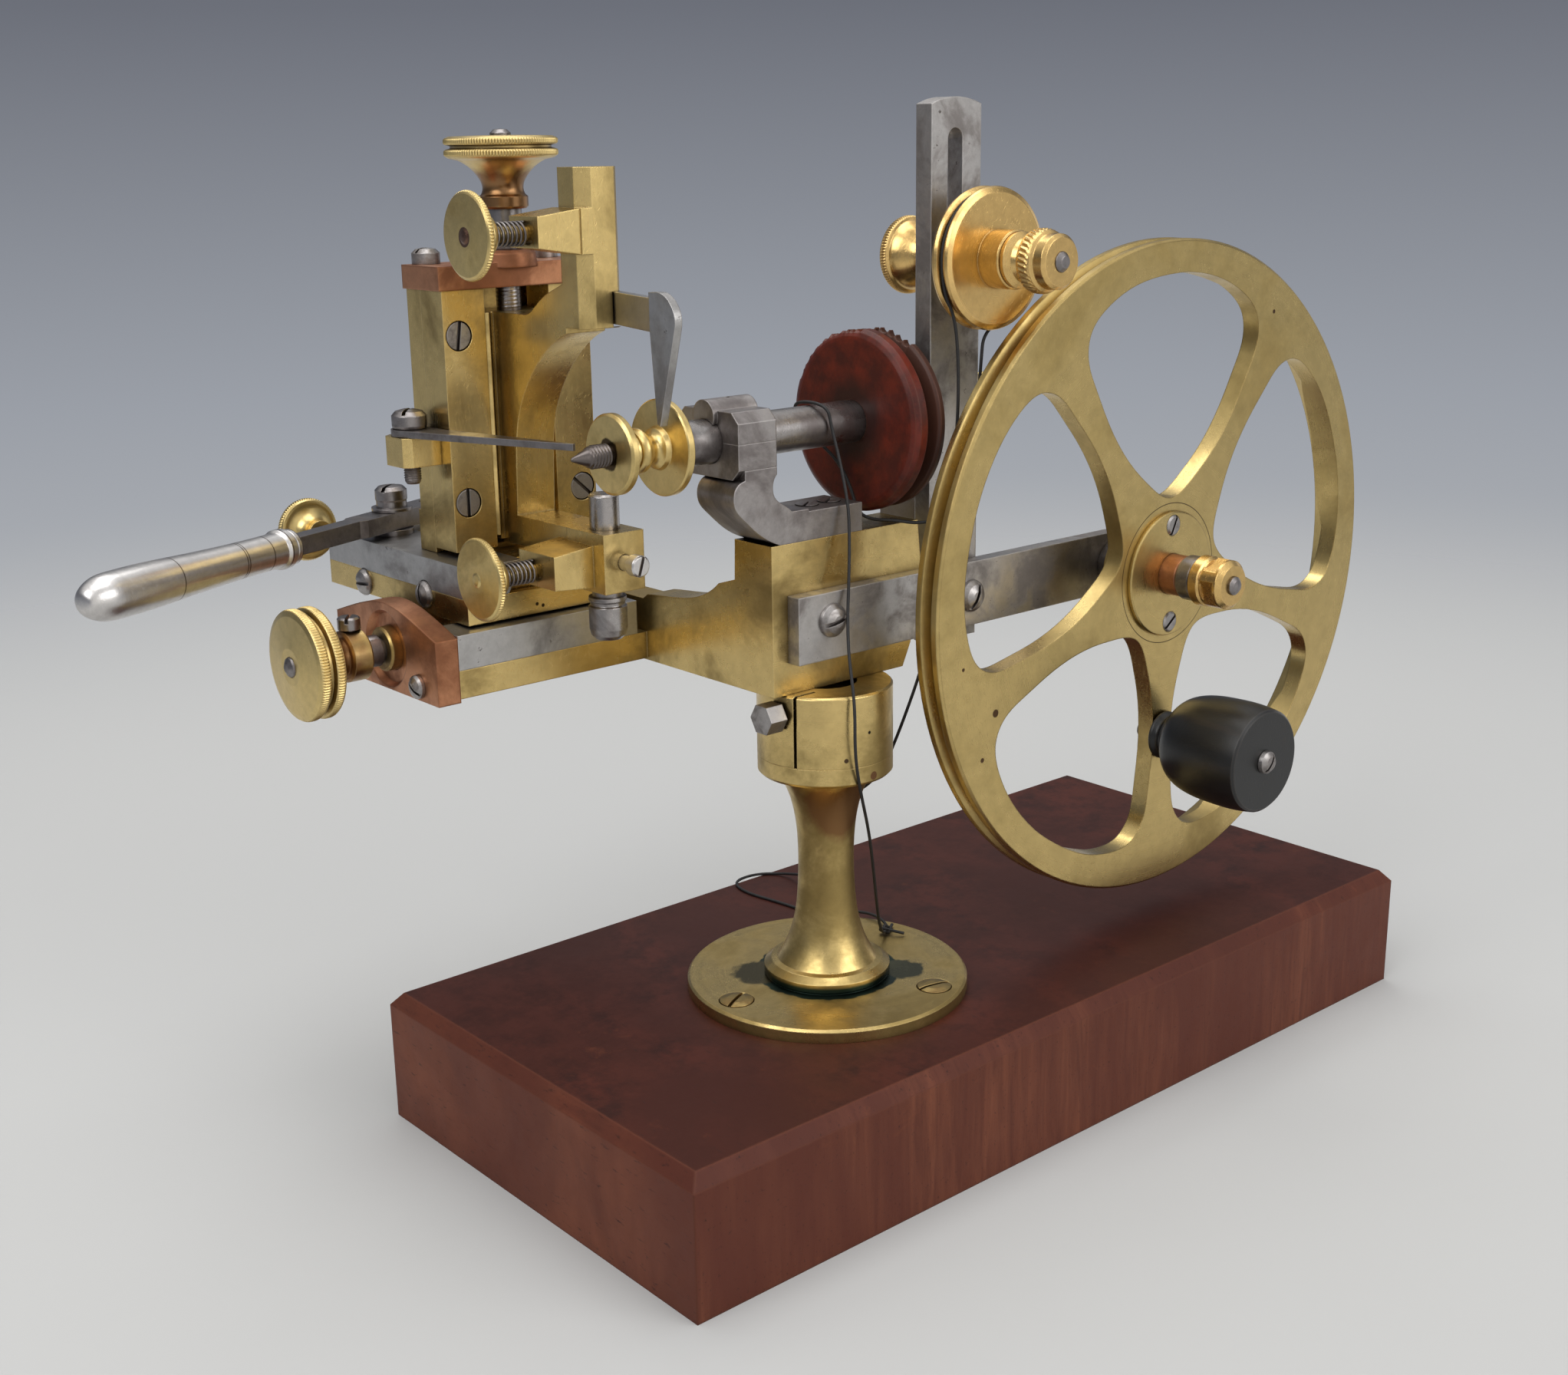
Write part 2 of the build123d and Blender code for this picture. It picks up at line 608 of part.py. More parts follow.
# Lever handle: bright turned steel, ringed ferrule and a bullet end.
handle_plane = Plane(origin=(pivot_x, pivot_y, lever_mid_z), x_dir=lever_dir,
                     z_dir=(-lever_dir.Y, lever_dir.X, 0))
with BuildPart() as lever_handle:
    with BuildSketch(handle_plane):
        with BuildLine():
            Polyline((38.5, 0), (38.5, 3.4), (39.3, 4.4), (40.6, 4.4), (41.1, 3.9), (41.6, 4.9),
                     (43.6, 4.9), (44.2, 4.3), (46.0, 4.3))
            Spline((46.0, 4.3), (58.0, 4.35), (72.0, 4.75), (86.0, 5.3), (95.0, 5.35))
            Spline((95.0, 5.35), (100.5, 4.7), (103.6, 3.0), (104.6, 0),
                   tangents=((1, 0), (0, -1)))
            Line((104.6, 0), (38.5, 0))
        make_face()
    revolve(axis=Axis((pivot_x, pivot_y, lever_mid_z), lever_dir))
lever_handle.part.label = "lever_handle"
export_step(lever_handle.part, "parts/lever_handle.step")

# Lever pivot screw: shouldered stud with a domed, slotted head; washers above and below are
# separate solids.
with BuildPart() as lever_pivot_screw:
    with BuildSketch(lathe_z(pivot_x, pivot_y)):
        Polygon((stud_z0, 0), (stud_z0, 2.0), (saddle_top_z, 2.0), (saddle_top_z, 2.5),
                (lever_z1 + 1.0, 2.5), (lever_z1 + 1.0, 3.9), (lever_z1 + 2.6, 3.9),
                (lever_z1 + 3.0, 4.1), (lever_z1 + 5.4, 4.1), (lever_z1 + 6.3, 3.2),
                (lever_z1 + 6.6, 1.4), (lever_z1 + 6.65, 0), align=None)
    revolve(axis=Axis((pivot_x, pivot_y, 0), (0, 0, 1)))
    with BuildSketch(lathe_z(pivot_x, pivot_y)):
        Polygon((lever_z1 + 0.1, 2.52), (lever_z1 + 0.1, 5.2), (lever_z1 + 0.98, 5.2),
                (lever_z1 + 0.98, 2.52), align=None)
    revolve(axis=Axis((pivot_x, pivot_y, 0), (0, 0, 1)))
    with BuildSketch(lathe_z(pivot_x, pivot_y)):
        Polygon((saddle_top_z, 2.52), (saddle_top_z, 5.2), (lever_z0 - 0.1, 5.2),
                (lever_z0 - 0.1, 2.52), align=None)
    revolve(axis=Axis((pivot_x, pivot_y, 0), (0, 0, 1)))
    with BuildSketch(at_z(lever_z1 + 5.2)):
        with Locations(Location((pivot_x, pivot_y), 30)):
            Rectangle(10.0, 1.0)
    extrude(amount=3.0, mode=Mode.SUBTRACT)
lever_pivot_screw.part.label = "lever_pivot_screw"
export_step(lever_pivot_screw.part, "parts/lever_pivot_screw.step")

# Column body: back plate of the vertical slide, standing on the dovetailed foot of the cross
# slide, with the driving pin for the lever.
foot_y0 = 45.0
foot_y1 = 104.0
foot_g = slide_gap / math.sin(math.radians(60.0))
drive_pin_x = pivot_x - lever_arm * lever_dir.X
drive_pin_y = pivot_y - lever_arm * lever_dir.Y
back_groove_w = 24.5
with BuildPart() as column_body:
    with BuildSketch(at_y(foot_y1)):
        Polygon((lway_top - sflank + foot_g, saddle_z1 + fit), (lway_top + foot_g, foot_top_z),
                (rway_top - foot_g, foot_top_z), (rway_top + sflank - foot_g, saddle_z1 + fit),
                align=None)
    extrude(amount=foot_y1 - foot_y0)
    with BuildSketch(at_z(foot_top_z - 0.5)):
        Polygon((lway_top + 1.5, 58.0), (rway_top - 1.5, 58.0), (rway_top - 1.5, 80.0),
                (lway_top + 1.5, 80.0), align=None)
    extrude(amount=1.8)
    with BuildSketch(at_z(col_z0)):
        Polygon((col_x0, col_y0), (col_x1, col_y0), (col_x1, col_y1), (col_x0, col_y1),
                align=None)
    extrude(amount=col_top_z - col_z0)
    with BuildSketch(at_z(col_z0 + 10.0)):
        Polygon((col_x0 - 1, col_y1 - 1.0), (col_x1 + 1, col_y1 - 1.0), (col_x1 + 1, col_y1 + 1),
                (col_x0 - 1, col_y1 + 1), align=None)
    extrude(amount=col_top_z - col_z0, mode=Mode.SUBTRACT)
    with BuildSketch(at_z(col_z0 + 1.3)):
        Polygon((col_mid_x - back_groove_w / 2, col_y0 - 1),
                (col_mid_x + back_groove_w / 2, col_y0 - 1),
                (col_mid_x + back_groove_w / 2, col_y0 + 3.0),
                (col_mid_x - back_groove_w / 2, col_y0 + 3.0), align=None)
    extrude(amount=col_top_z - col_z0, mode=Mode.SUBTRACT)
    with BuildSketch(at_z(foot_top_z - 1)):
        with Locations((drive_pin_x, drive_pin_y)):
            Circle(1.5)
    extrude(amount=lever_z1 - foot_top_z + 0.4)
    with BuildSketch(at_y(col_y1 - 1.6)):
        with Locations((-103.5, 198.6), (-103.5, 158.6), (-69.9, 198.6), (-69.9, 158.6)):
            Circle(1.8)
    extrude(amount=10.0, mode=Mode.SUBTRACT)
    with BuildSketch(at_z(col_top_z - 6.0)):
        with Locations((-103.6, 66.2), (-69.8, 66.2)):
            Circle(1.3)
    extrude(amount=8.0, mode=Mode.SUBTRACT)
column_body.part.label = "column_body"
export_step(column_body.part, "parts/column_body.step")

# Column way strips: two brass strips screwed to the front of the column.
with BuildPart() as column_way_strips:
    for x0, x1 in ((col_x0, col_x0 + strip_w), (col_x1 - strip_w, col_x1)):
        with BuildSketch(at_z(strip_z0)):
            Polygon((x0, strip_y0), (x1, strip_y0), (x1, col_y0), (x0, col_y0), align=None)
        extrude(amount=col_top_z - strip_z0)
    with BuildSketch(at_y(col_y0)):
        with Locations((-103.5, 198.6), (-103.5, 158.6), (-69.9, 198.6), (-69.9, 158.6)):
            Circle(1.8)
    extrude(amount=12.0, mode=Mode.SUBTRACT)
    with BuildSketch(at_y(strip_y0 + 3.0)):
        with Locations((-103.5, 198.6), (-103.5, 158.6), (-69.9, 198.6), (-69.9, 158.6)):
            Circle(3.6)
    extrude(amount=5.0, mode=Mode.SUBTRACT)
column_way_strips.part.label = "column_way_strips"
export_step(column_way_strips.part, "parts/column_way_strips.step")

# Way screws: four slotted cheese-head steel screws, let in flush.
with BuildPart() as way_screws:
    for sx, sz, turn in ((-103.5, 198.6, 82.0), (-103.5, 158.6, 90.0), (-69.9, 198.6, 20.0),
                         (-69.9, 158.6, -42.0)):
        with BuildSketch(lathe_y(sx, sz)):
            Polygon((strip_y0 + 0.1, 0), (strip_y0 + 0.1, 3.2), (strip_y0 + 0.4, 3.5),
                    (strip_y0 + 3.0, 3.5), (strip_y0 + 3.0, 1.7), (col_y1 - 2.0, 1.7),
                    (col_y1 - 2.0, 0), align=None)
        revolve(axis=Axis((sx, 0, sz), (0, 1, 0)))
        with BuildSketch(Plane(origin=(sx, strip_y0 + 1.2, sz), x_dir=(
                math.cos(math.radians(turn)), 0, math.sin(math.radians(turn))),
                z_dir=(0, -1, 0))):
            Rectangle(8.0, 0.9)
        extrude(amount=3.0, mode=Mode.SUBTRACT)
way_screws.part.label = "way_screws"
export_step(way_screws.part, "parts/way_screws.step")

# Column gib: narrow brass strip with a ridge, between the left strip and the sliding frame.
gib_x0 = col_x0 + strip_w
gib_w = 2.5
with BuildPart() as column_gib:
    with BuildSketch(at_z(slide_z0 + 1.5)):
        Polygon((gib_x0, strip_y0 + 0.8), (gib_x0 + 1.2, strip_y0 + 0.2),
                (gib_x0 + gib_w, strip_y0 + 1.4), (gib_x0 + gib_w, col_y0), (gib_x0, col_y0),
                align=None)
    extrude(amount=slide_z1 - slide_z0 - 1.5)
column_gib.part.label = "column_gib"
export_step(column_gib.part, "parts/column_gib.step")

# Column top plate: copper plate with a raised collar about the vertical screw.
with BuildPart() as column_top_plate:
    with BuildSketch(at_z(col_top_z)):
        Polygon((col_x0 - 1.1, strip_y0 - 1.0), (col_x1 + 0.8, strip_y0 - 1.0),
                (col_x1 + 0.8, col_y1 - 1.2), (col_x0 - 1.1, col_y1 - 1.2), align=None)
    extrude(amount=top_plate_z1 - col_top_z)
    with BuildSketch(lathe_z(col_mid_x, vscrew_y)):
        Polygon((top_plate_z1 - 1, 0), (top_plate_z1 - 1, 7.4), (top_plate_z1 + 2.2, 7.0),
                (top_plate_z1 + 3.0, 6.2), (top_plate_z1 + 3.0, 0), align=None)
    revolve(axis=Axis((col_mid_x, vscrew_y, 0), (0, 0, 1)))
    with BuildSketch(at_z(col_top_z)):
        with Locations((col_mid_x, vscrew_y)):
            Circle(vscrew_r + fit)
    extrude(amount=10.0, mode=Mode.SUBTRACT)
    with BuildSketch(at_z(col_top_z)):
        with Locations((-103.6, 66.2), (-69.8, 66.2)):
            Circle(1.3)
    extrude(amount=10.0, mode=Mode.SUBTRACT)
column_top_plate.part.label = "column_top_plate"
export_step(column_top_plate.part, "parts/column_top_plate.step")

# Top plate screws: two domed steel screws.
with BuildPart() as top_plate_screws:
    for sx in (-103.6, -69.8):
        with BuildSketch(lathe_z(sx, 66.2)):
            Polygon((col_top_z - 5.5, 0), (col_top_z - 5.5, 1.25), (top_plate_z1, 1.25),
                    (top_plate_z1, 3.4), (top_plate_z1 + 2.6, 3.4), (top_plate_z1 + 3.5, 2.4),
                    (top_plate_z1 + 3.8, 0.8), (top_plate_z1 + 3.8, 0), align=None)
        revolve(axis=Axis((sx, 66.2, 0), (0, 0, 1)))
        with BuildSketch(at_z(top_plate_z1 + 2.6)):
            with Locations(Location((sx, 66.2), 15)):
                Rectangle(8.0, 0.8)
        extrude(amount=2.0, mode=Mode.SUBTRACT)
top_plate_screws.part.label = "top_plate_screws"
export_step(top_plate_screws.part, "parts/top_plate_screws.step")

# Vertical leadscrew: steel screw through the top plate into the sliding frame, with its domed
# cap above the knob.
with BuildPart() as vertical_leadscrew:
    with BuildSketch(lathe_z(col_mid_x, vscrew_y)):
        Polygon((168.0, 0), (168.0, 2.2), (169.0, vscrew_r), (top_plate_z1 + 3.1, vscrew_r),
                (top_plate_z1 + 3.1, 4.2), (227.4, 4.2), (227.4, 2.5), (243.0, 2.5),
                (244.8, 2.5), (245.6, 1.6), (245.8, 0), align=None)
    revolve(axis=Axis((col_mid_x, vscrew_y, 0), (0, 0, 1)))
vertical_leadscrew.part.label = "vertical_leadscrew"
export_step(vertical_leadscrew.part, "parts/vertical_leadscrew.step")

# Top knob: brass, round collar, trumpet and twin rims.
with BuildPart() as top_knob:
    with BuildSketch(lathe_z(col_mid_x, vscrew_y)):
        with BuildLine():
            Polyline((227.4, 2.5), (227.4, 5.4), (227.9, 5.9), (230.2, 5.9), (230.7, 5.3))
            Spline((230.7, 5.3), (232.6, 4.9), (235.0, 6.0), (237.6, 8.6), (238.6, 10.4))
            Polyline((238.6, 10.4), (239.1, 12.6), (239.5, wheel_r), (241.1, wheel_r),
                     (241.4, wheel_r - 1.2), (241.9, wheel_r - 1.2), (242.2, wheel_r),
                     (243.7, wheel_r), (244.1, wheel_r - 1.0), (244.3, 5.0), (244.3, 2.5),
                     (227.4, 2.5))
        make_face()
    revolve(axis=Axis((col_mid_x, vscrew_y, 0), (0, 0, 1)))
top_knob.part.label = "top_knob"
export_step(top_knob.part, "parts/top_knob.step")

# Slide frame: the casting of most skill here. A sliding plate, a rib cut out in a quarter arch,
# a post with stopped chamfers, two tapering lugs and the runner block, all in one piece.
slide_x0 = gib_x0 + gib_w + slide_gap
slide_x1 = col_x1 - strip_w - slide_gap
lug_y0 = 17.6
lower_lug_y0 = 17.4
with BuildPart() as slide_frame:
    with BuildSketch(at_z(slide_z0)):
        Polygon((slide_x0, 55.6), (slide_x1, 55.6), (slide_x1, col_y0 + 0.1),
                (col_mid_x + back_groove_w / 2 - 0.2, col_y0 + 0.1),
                (col_mid_x + back_groove_w / 2 - 0.2, col_y0 + 2.9),
                (col_mid_x - back_groove_w / 2 + 0.2, col_y0 + 2.9),
                (col_mid_x - back_groove_w / 2 + 0.2, col_y0 + 0.1), (slide_x0, col_y0 + 0.1),
                align=None)
    extrude(amount=slide_z1 - slide_z0)
    with BuildSketch(at_x(rib_x0)):
        with BuildLine():
            Polyline((56.5, slide_z1), (56.5, slide_z0 - 0.8), (27.0, slide_z0 - 0.8),
                     (27.0, 154.6), (49.4, 154.6), (48.7, 168.0))
            Spline((48.7, 168.0), (47.9, 174.7), (46.4, 179.8), (43.1, 185.8), (37.9, 191.9),
                   (29.6, 198.1), (25.0, 200.1))
            Polyline((25.0, 200.1), (25.0, 211.6))
            Spline((25.0, 211.6), (29.4, 209.9), (32.6, 208.6), (36.6, 206.2), (39.6, 204.1),
                   (43.0, slide_z1))
            Line((43.0, slide_z1), (56.5, slide_z1))
        make_face()
    extrude(amount=rib_x1 - rib_x0)
    with BuildSketch(at_z(post_z0)):
        Polygon((rib_x0, post_y0), (rib_x1 - 1.5, post_y0), (rib_x1, post_y0 + 1.5),
                (rib_x1, post_y1), (rib_x0, post_y1), align=None)
    extrude(amount=post_z1 - post_z0)
    for z0, z1 in ((post_z0, 218.1), (228.3, post_z1)):
        with BuildSketch(at_z(z0)):
            Polygon((rib_x0 - 1, post_y0 - 1), (rib_x0 + 3.1, post_y0 - 1),
                    (rib_x0 + 3.1, post_y0), (rib_x0, post_y0 + 2.6), (rib_x0 - 1, post_y0 + 2.6),
                    align=None)
        extrude(amount=z1 - z0, mode=Mode.SUBTRACT)
    with BuildSketch(at_y(28.9)):
        Polygon((lug_x0, 219.9), (rib_x0 + 0.5, 218.1), (rib_x0 + 0.5, 228.3), (lug_x0, 226.8),
                align=None)
    extrude(amount=28.9 - lug_y0)
    with BuildSketch(at_y(32.0)):
        Polygon((lug_x0, 142.5), (rib_x0 + 0.5, 141.6), (rib_x0 + 0.5, 151.7), (lug_x0, 150.5),
                align=None)
    extrude(amount=32.0 - lower_lug_y0)
    with BuildSketch(at_x(rib_x0)):
        Polygon((31.9, 141.6), (31.9, 149.0), (20.0, 149.0), (20.0, 141.6), align=None)
    extrude(amount=rib_x1 - rib_x0)
    with BuildSketch(at_z(140.5)):
        Polygon((rib_x0 - 0.4, block_y0), (rib_x1 + 0.2, block_y0), (rib_x1 + 0.2, 28.0),
                (rib_x0 - 0.4, 28.0), align=None)
    extrude(amount=14.2)
    with BuildSketch(at_z(140.0)):
        with Locations((pin_x, pin_y)):
            Circle(pin_r + fit)
    extrude(amount=16.0, mode=Mode.SUBTRACT)
    with BuildSketch(at_z(159.0)):
        with Locations((col_mid_x, vscrew_y)):
            Circle(vscrew_r + fit)
    extrude(amount=60.0, mode=Mode.SUBTRACT)
    with BuildSketch(at_y(pin_y - 3.0)):
        with Locations((pin_x, 147.5)):
            Circle(1.95)
    extrude(amount=6.0, mode=Mode.SUBTRACT)
    with BuildSketch(at_x(lug_x0 - 1)):
        with Locations((upper_thumb_y, upper_thumb_z)):
            Circle(stem_r + fit)
    extrude(amount=23.0, mode=Mode.SUBTRACT)
    with BuildSketch(at_x(lug_x0 - 1)):
        with Locations((lower_thumb_y, lower_thumb_z)):
            Circle(stem_r + fit)
    extrude(amount=15.5, mode=Mode.SUBTRACT)
    with BuildSketch(at_x(rib_x1 - 3.1)):
        Polygon((post_y0 - 1, 201.5), (post_y0 + 6.0, 201.3), (post_y0 + 6.0, 209.5),
                (post_y0 - 1, 209.5), align=None)
    extrude(amount=5.0, mode=Mode.SUBTRACT)
slide_frame.part.label = "slide_frame"
export_step(slide_frame.part, "parts/slide_frame.step")

# Thumb screws: thin knurled brass disc with a domed hub on a steel stem; the stem is a separate
# solid in the same node.
hub_x1 = -112.6
with BuildPart() as upper_thumb_screw:
    with BuildSketch(lathe_x(upper_thumb_y, upper_thumb_z)):
        with BuildLine():
            Polyline((hub_x1, stem_r + 0.02), (thumb_x0, stem_r + 0.02), (thumb_x0, 3.0),
                     (thumb_x0 + 0.3, thumb_r - 0.5), (thumb_x0 + 0.6, thumb_r),
                     (thumb_x0 + 1.8, thumb_r), (thumb_x0 + 2.2, thumb_r - 0.6),
                     (thumb_x0 + 2.5, 5.6))
            Spline((thumb_x0 + 2.5, 5.6), (thumb_x0 + 3.2, 4.3), (thumb_x0 + 4.4, 5.0),
                   (thumb_x0 + 5.7, 4.6), (hub_x1, 3.2))
            Line((hub_x1, 3.2), (hub_x1, stem_r + 0.02))
        make_face()
    revolve(axis=Axis((0, upper_thumb_y, upper_thumb_z), (1, 0, 0)))
    with BuildSketch(lathe_x(upper_thumb_y, upper_thumb_z)):
        Polygon((thumb_x0 - 0.4, 0), (thumb_x0 - 0.3, 1.2), (thumb_x0, stem_r), (-87.5, stem_r),
                (-86.5, 1.0), (-86.5, 0), align=None)
    revolve(axis=Axis((0, upper_thumb_y, upper_thumb_z), (1, 0, 0)))
upper_thumb_screw.part.label = "upper_thumb_screw"
export_step(upper_thumb_screw.part, "parts/upper_thumb_screw.step")

with BuildPart() as lower_thumb_screw:
    with BuildSketch(lathe_x(lower_thumb_y, lower_thumb_z)):
        with BuildLine():
            Polyline((hub_x1, stem_r + 0.02), (thumb_x0, stem_r + 0.02), (thumb_x0, 3.0),
                     (thumb_x0 + 0.3, thumb_r - 0.5), (thumb_x0 + 0.6, thumb_r),
                     (thumb_x0 + 1.8, thumb_r), (thumb_x0 + 2.2, thumb_r - 0.6),
                     (thumb_x0 + 2.5, 5.6))
            Spline((thumb_x0 + 2.5, 5.6), (thumb_x0 + 3.2, 4.3), (thumb_x0 + 4.4, 5.0),
                   (thumb_x0 + 5.7, 4.6), (hub_x1, 3.2))
            Line((hub_x1, 3.2), (hub_x1, stem_r + 0.02))
        make_face()
    revolve(axis=Axis((0, lower_thumb_y, lower_thumb_z), (1, 0, 0)))
    with BuildSketch(lathe_x(lower_thumb_y, lower_thumb_z)):
        Polygon((thumb_x0 - 0.4, 0), (thumb_x0 - 0.3, 1.2), (thumb_x0, stem_r), (-91.2, stem_r),
                (-90.4, 1.0), (-90.4, 0), align=None)
    revolve(axis=Axis((0, lower_thumb_y, lower_thumb_z), (1, 0, 0)))
lower_thumb_screw.part.label = "lower_thumb_screw"
export_step(lower_thumb_screw.part, "parts/lower_thumb_screw.step")

# Thumb springs: one open steel coil on each stem, between hub and lug.
coil_x0 = hub_x1 + spring_wire_r + 0.1
coil_len = lug_x0 - hub_x1 - 2 * spring_wire_r - 0.2
points_a_turn = 48


def least_gap(line, turns, wire_d):
    """Least clear gap of a coil to itself, between points more than half a turn apart."""
    count = int(points_a_turn * turns)
    points = [line @ (i / count) for i in range(count + 1)]
    return min(
        (points[i] - points[j]).length
        for i in range(count + 1)
        for j in range(i + points_a_turn // 2, count + 1)
    ) - wire_d


with BuildPart() as thumb_springs:
    for cy, cz in ((upper_thumb_y, upper_thumb_z), (lower_thumb_y, lower_thumb_z)):
        with BuildLine() as coil:
            Helix(spring_pitch, coil_len, spring_r, center=(coil_x0, cy, cz),
                  direction=(1, 0, 0))
        with BuildSketch(Plane(origin=coil.line @ 0, z_dir=coil.line % 0)):
            Circle(spring_wire_r)
        sweep(path=coil.line)
print("thumb spring: least clear gap to itself %.2f mm" % least_gap(
    coil.line, coil_len / spring_pitch, 2 * spring_wire_r))
thumb_springs.part.label = "thumb_springs"
export_step(thumb_springs.part, "parts/thumb_springs.step")

# Runner pin: steel rod in the runner block, its lower end thicker, grooved and rounded.
with BuildPart() as runner_pin:
    with BuildSketch(lathe_z(pin_x, pin_y)):
        Polygon((163.0, 0), (163.0, pin_r - 0.5), (162.5, pin_r), (138.4, pin_r), (138.4, 4.5),
                (137.5, 4.6), (137.1, 4.15), (136.4, 4.15), (136.0, 4.6), (130.6, 4.6),
                (129.0, 4.2), (128.0, 3.2), (127.6, 1.6), (127.5, 0), align=None)
    revolve(axis=Axis((pin_x, pin_y, 0), (0, 0, 1)))
runner_pin.part.label = "runner_pin"
export_step(runner_pin.part, "parts/runner_pin.step")

# Runner clamp screw: bright slotted screw in the face of the runner block.
with BuildPart() as runner_clamp_screw:
    with BuildSketch(lathe_y(pin_x, 147.5)):
        Polygon((pin_y - pin_r - fit, 0), (pin_y - pin_r - fit, 1.2), (pin_y - 5.4, 1.9),
                (10.2, 1.9), (10.2, 1.5), (9.4, 1.5), (9.4, 2.6), (6.8, 2.6), (6.4, 2.2),
                (6.4, 0), align=None)
    revolve(axis=Axis((pin_x, 0, 147.5), (0, 1, 0)))
    with BuildSketch(Plane(origin=(pin_x, 7.4, 147.5), x_dir=(
            math.cos(math.radians(72.0)), 0, math.sin(math.radians(72.0))), z_dir=(0, -1, 0))):
        Rectangle(7.0, 0.8)
    extrude(amount=2.0, mode=Mode.SUBTRACT)
runner_clamp_screw.part.label = "runner_clamp_screw"
export_step(runner_clamp_screw.part, "parts/runner_clamp_screw.step")

# Hook pointer: steel blade hanging in front of the big collar, on a cranked arm let into the
# post.
hook_x0 = -90.5
hook_t = 2.0
with BuildPart() as hook_pointer:
    with BuildSketch(at_x(hook_x0)):
        with BuildLine():
            Polyline((-4.4, 203.2), (-6.2, 182.2), (-7.2, 181.7), (-13.4, 203.4))
            Spline((-13.4, 203.4), (-13.0, 207.2), (-10.6, 209.9), (-6.6, 210.9))
            Polyline((-6.6, 210.9), (-4.4, 210.8), (-4.4, 203.2))
        make_face()
    extrude(amount=hook_t)
    with BuildSketch(at_z(202.2)):
        Polygon((hook_x0 + 0.2, -4.6), (hook_x0 + hook_t, -7.2), (-81.5, post_y0 + 1.0),
                (-81.5, post_y0 + 5.6), (-83.9, post_y0 + 5.6), (-83.9, post_y0 + 1.2),
                align=None)
    extrude(amount=7.3)
hook_pointer.part.label = "hook_pointer"
export_step(hook_pointer.part, "parts/hook_pointer.step")

# Finger lug: small brass block on the left side of the column, with the finger's screw in it.
finger_x = -113.0
finger_y = 62.8
with BuildPart() as finger_lug:
    with BuildSketch(at_z(168.0)):
        Polygon((-117.6, 59.0), (-115.6, 57.6), (col_x0, 57.6), (col_x0, 68.0), (-115.6, 68.0),
                (-117.6, 66.6), align=None)
    extrude(amount=7.1)
    with BuildSketch(at_z(167.0)):
        with Locations((finger_x, finger_y)):
            Circle(1.9)
    extrude(amount=9.0, mode=Mode.SUBTRACT)
finger_lug.part.label = "finger_lug"
export_step(finger_lug.part, "parts/finger_lug.step")

# Finger: thin steel pointer that swings on its screw, its tip level with the spindle.
finger_tip_x = -99.6
finger_tip_y = 13.3
finger_len = math.hypot(finger_tip_x - finger_x, finger_tip_y - finger_y)
finger_plane = Plane(
    origin=(finger_x, finger_y, 175.2),
    x_dir=((finger_tip_x - finger_x) / finger_len, (finger_tip_y - finger_y) / finger_len, 0),
    z_dir=(0, 0, 1),
)
with BuildPart() as finger:
    with BuildSketch(finger_plane):
        Circle(4.5)
    extrude(amount=1.6)
    with BuildSketch(finger_plane):
        Polygon((0, 4.4), (-2.5, 3.6), (-2.5, -3.6), (0, -4.5), (10.0, -4.0), (26.0, -2.6),
                (finger_len, -0.35), (finger_len, 0.35), (26.0, 1.8), (10.0, 2.4), (5.0, 3.3),
                align=None)
    extrude(amount=1.6)
    with BuildSketch(finger_plane):
        Circle(1.95)
    extrude(amount=1.6, mode=Mode.SUBTRACT)
finger.part.label = "finger"
export_step(finger.part, "parts/finger.step")

# Finger screw: domed steel screw, its end standing out below the lug.
with BuildPart() as finger_screw:
    with BuildSketch(lathe_z(finger_x, finger_y)):
        Polygon((163.4, 0), (163.4, 1.5), (164.0, 1.9), (176.9, 1.9), (176.9, 4.0), (177.6, 4.2),
                (180.0, 4.2), (181.0, 3.3), (181.5, 1.5), (181.5, 0), align=None)
    revolve(axis=Axis((finger_x, finger_y, 0), (0, 0, 1)))
    with BuildSketch(at_z(180.3)):
        with Locations(Location((finger_x, finger_y), 40)):
            Rectangle(10.0, 0.9)
    extrude(amount=2.0, mode=Mode.SUBTRACT)
finger_screw.part.label = "finger_screw"
export_step(finger_screw.part, "parts/finger_screw.step")

# Horizontal bar: flat steel bar across the front of the block, out to the flywheel axle.
bar_y0 = front_y - hbar_t
with BuildPart() as horizontal_bar:
    with BuildSketch(at_y(front_y)):
        Polygon((hbar_x0, hbar_z0), (hbar_x1 - 2.5, hbar_z0), (hbar_x1, hbar_z0 + 2.5),
                (hbar_x1, hbar_z1 - 2.5), (hbar_x1 - 2.5, hbar_z1), (hbar_x0, hbar_z1),
                align=None)
    extrude(amount=hbar_t)
    with BuildSketch(at_y(front_y)):
        with Locations((-47.9, 132.1), (-0.3, 130.3)):
            Circle(1.8)
    extrude(amount=hbar_t, mode=Mode.SUBTRACT)
    with BuildSketch(at_y(front_y)):
        with Locations((fly_x, fly_z)):
            Circle(axle_r)
    extrude(amount=hbar_t, mode=Mode.SUBTRACT)
horizontal_bar.part.label = "horizontal_bar"
export_step(horizontal_bar.part, "parts/horizontal_bar.step")

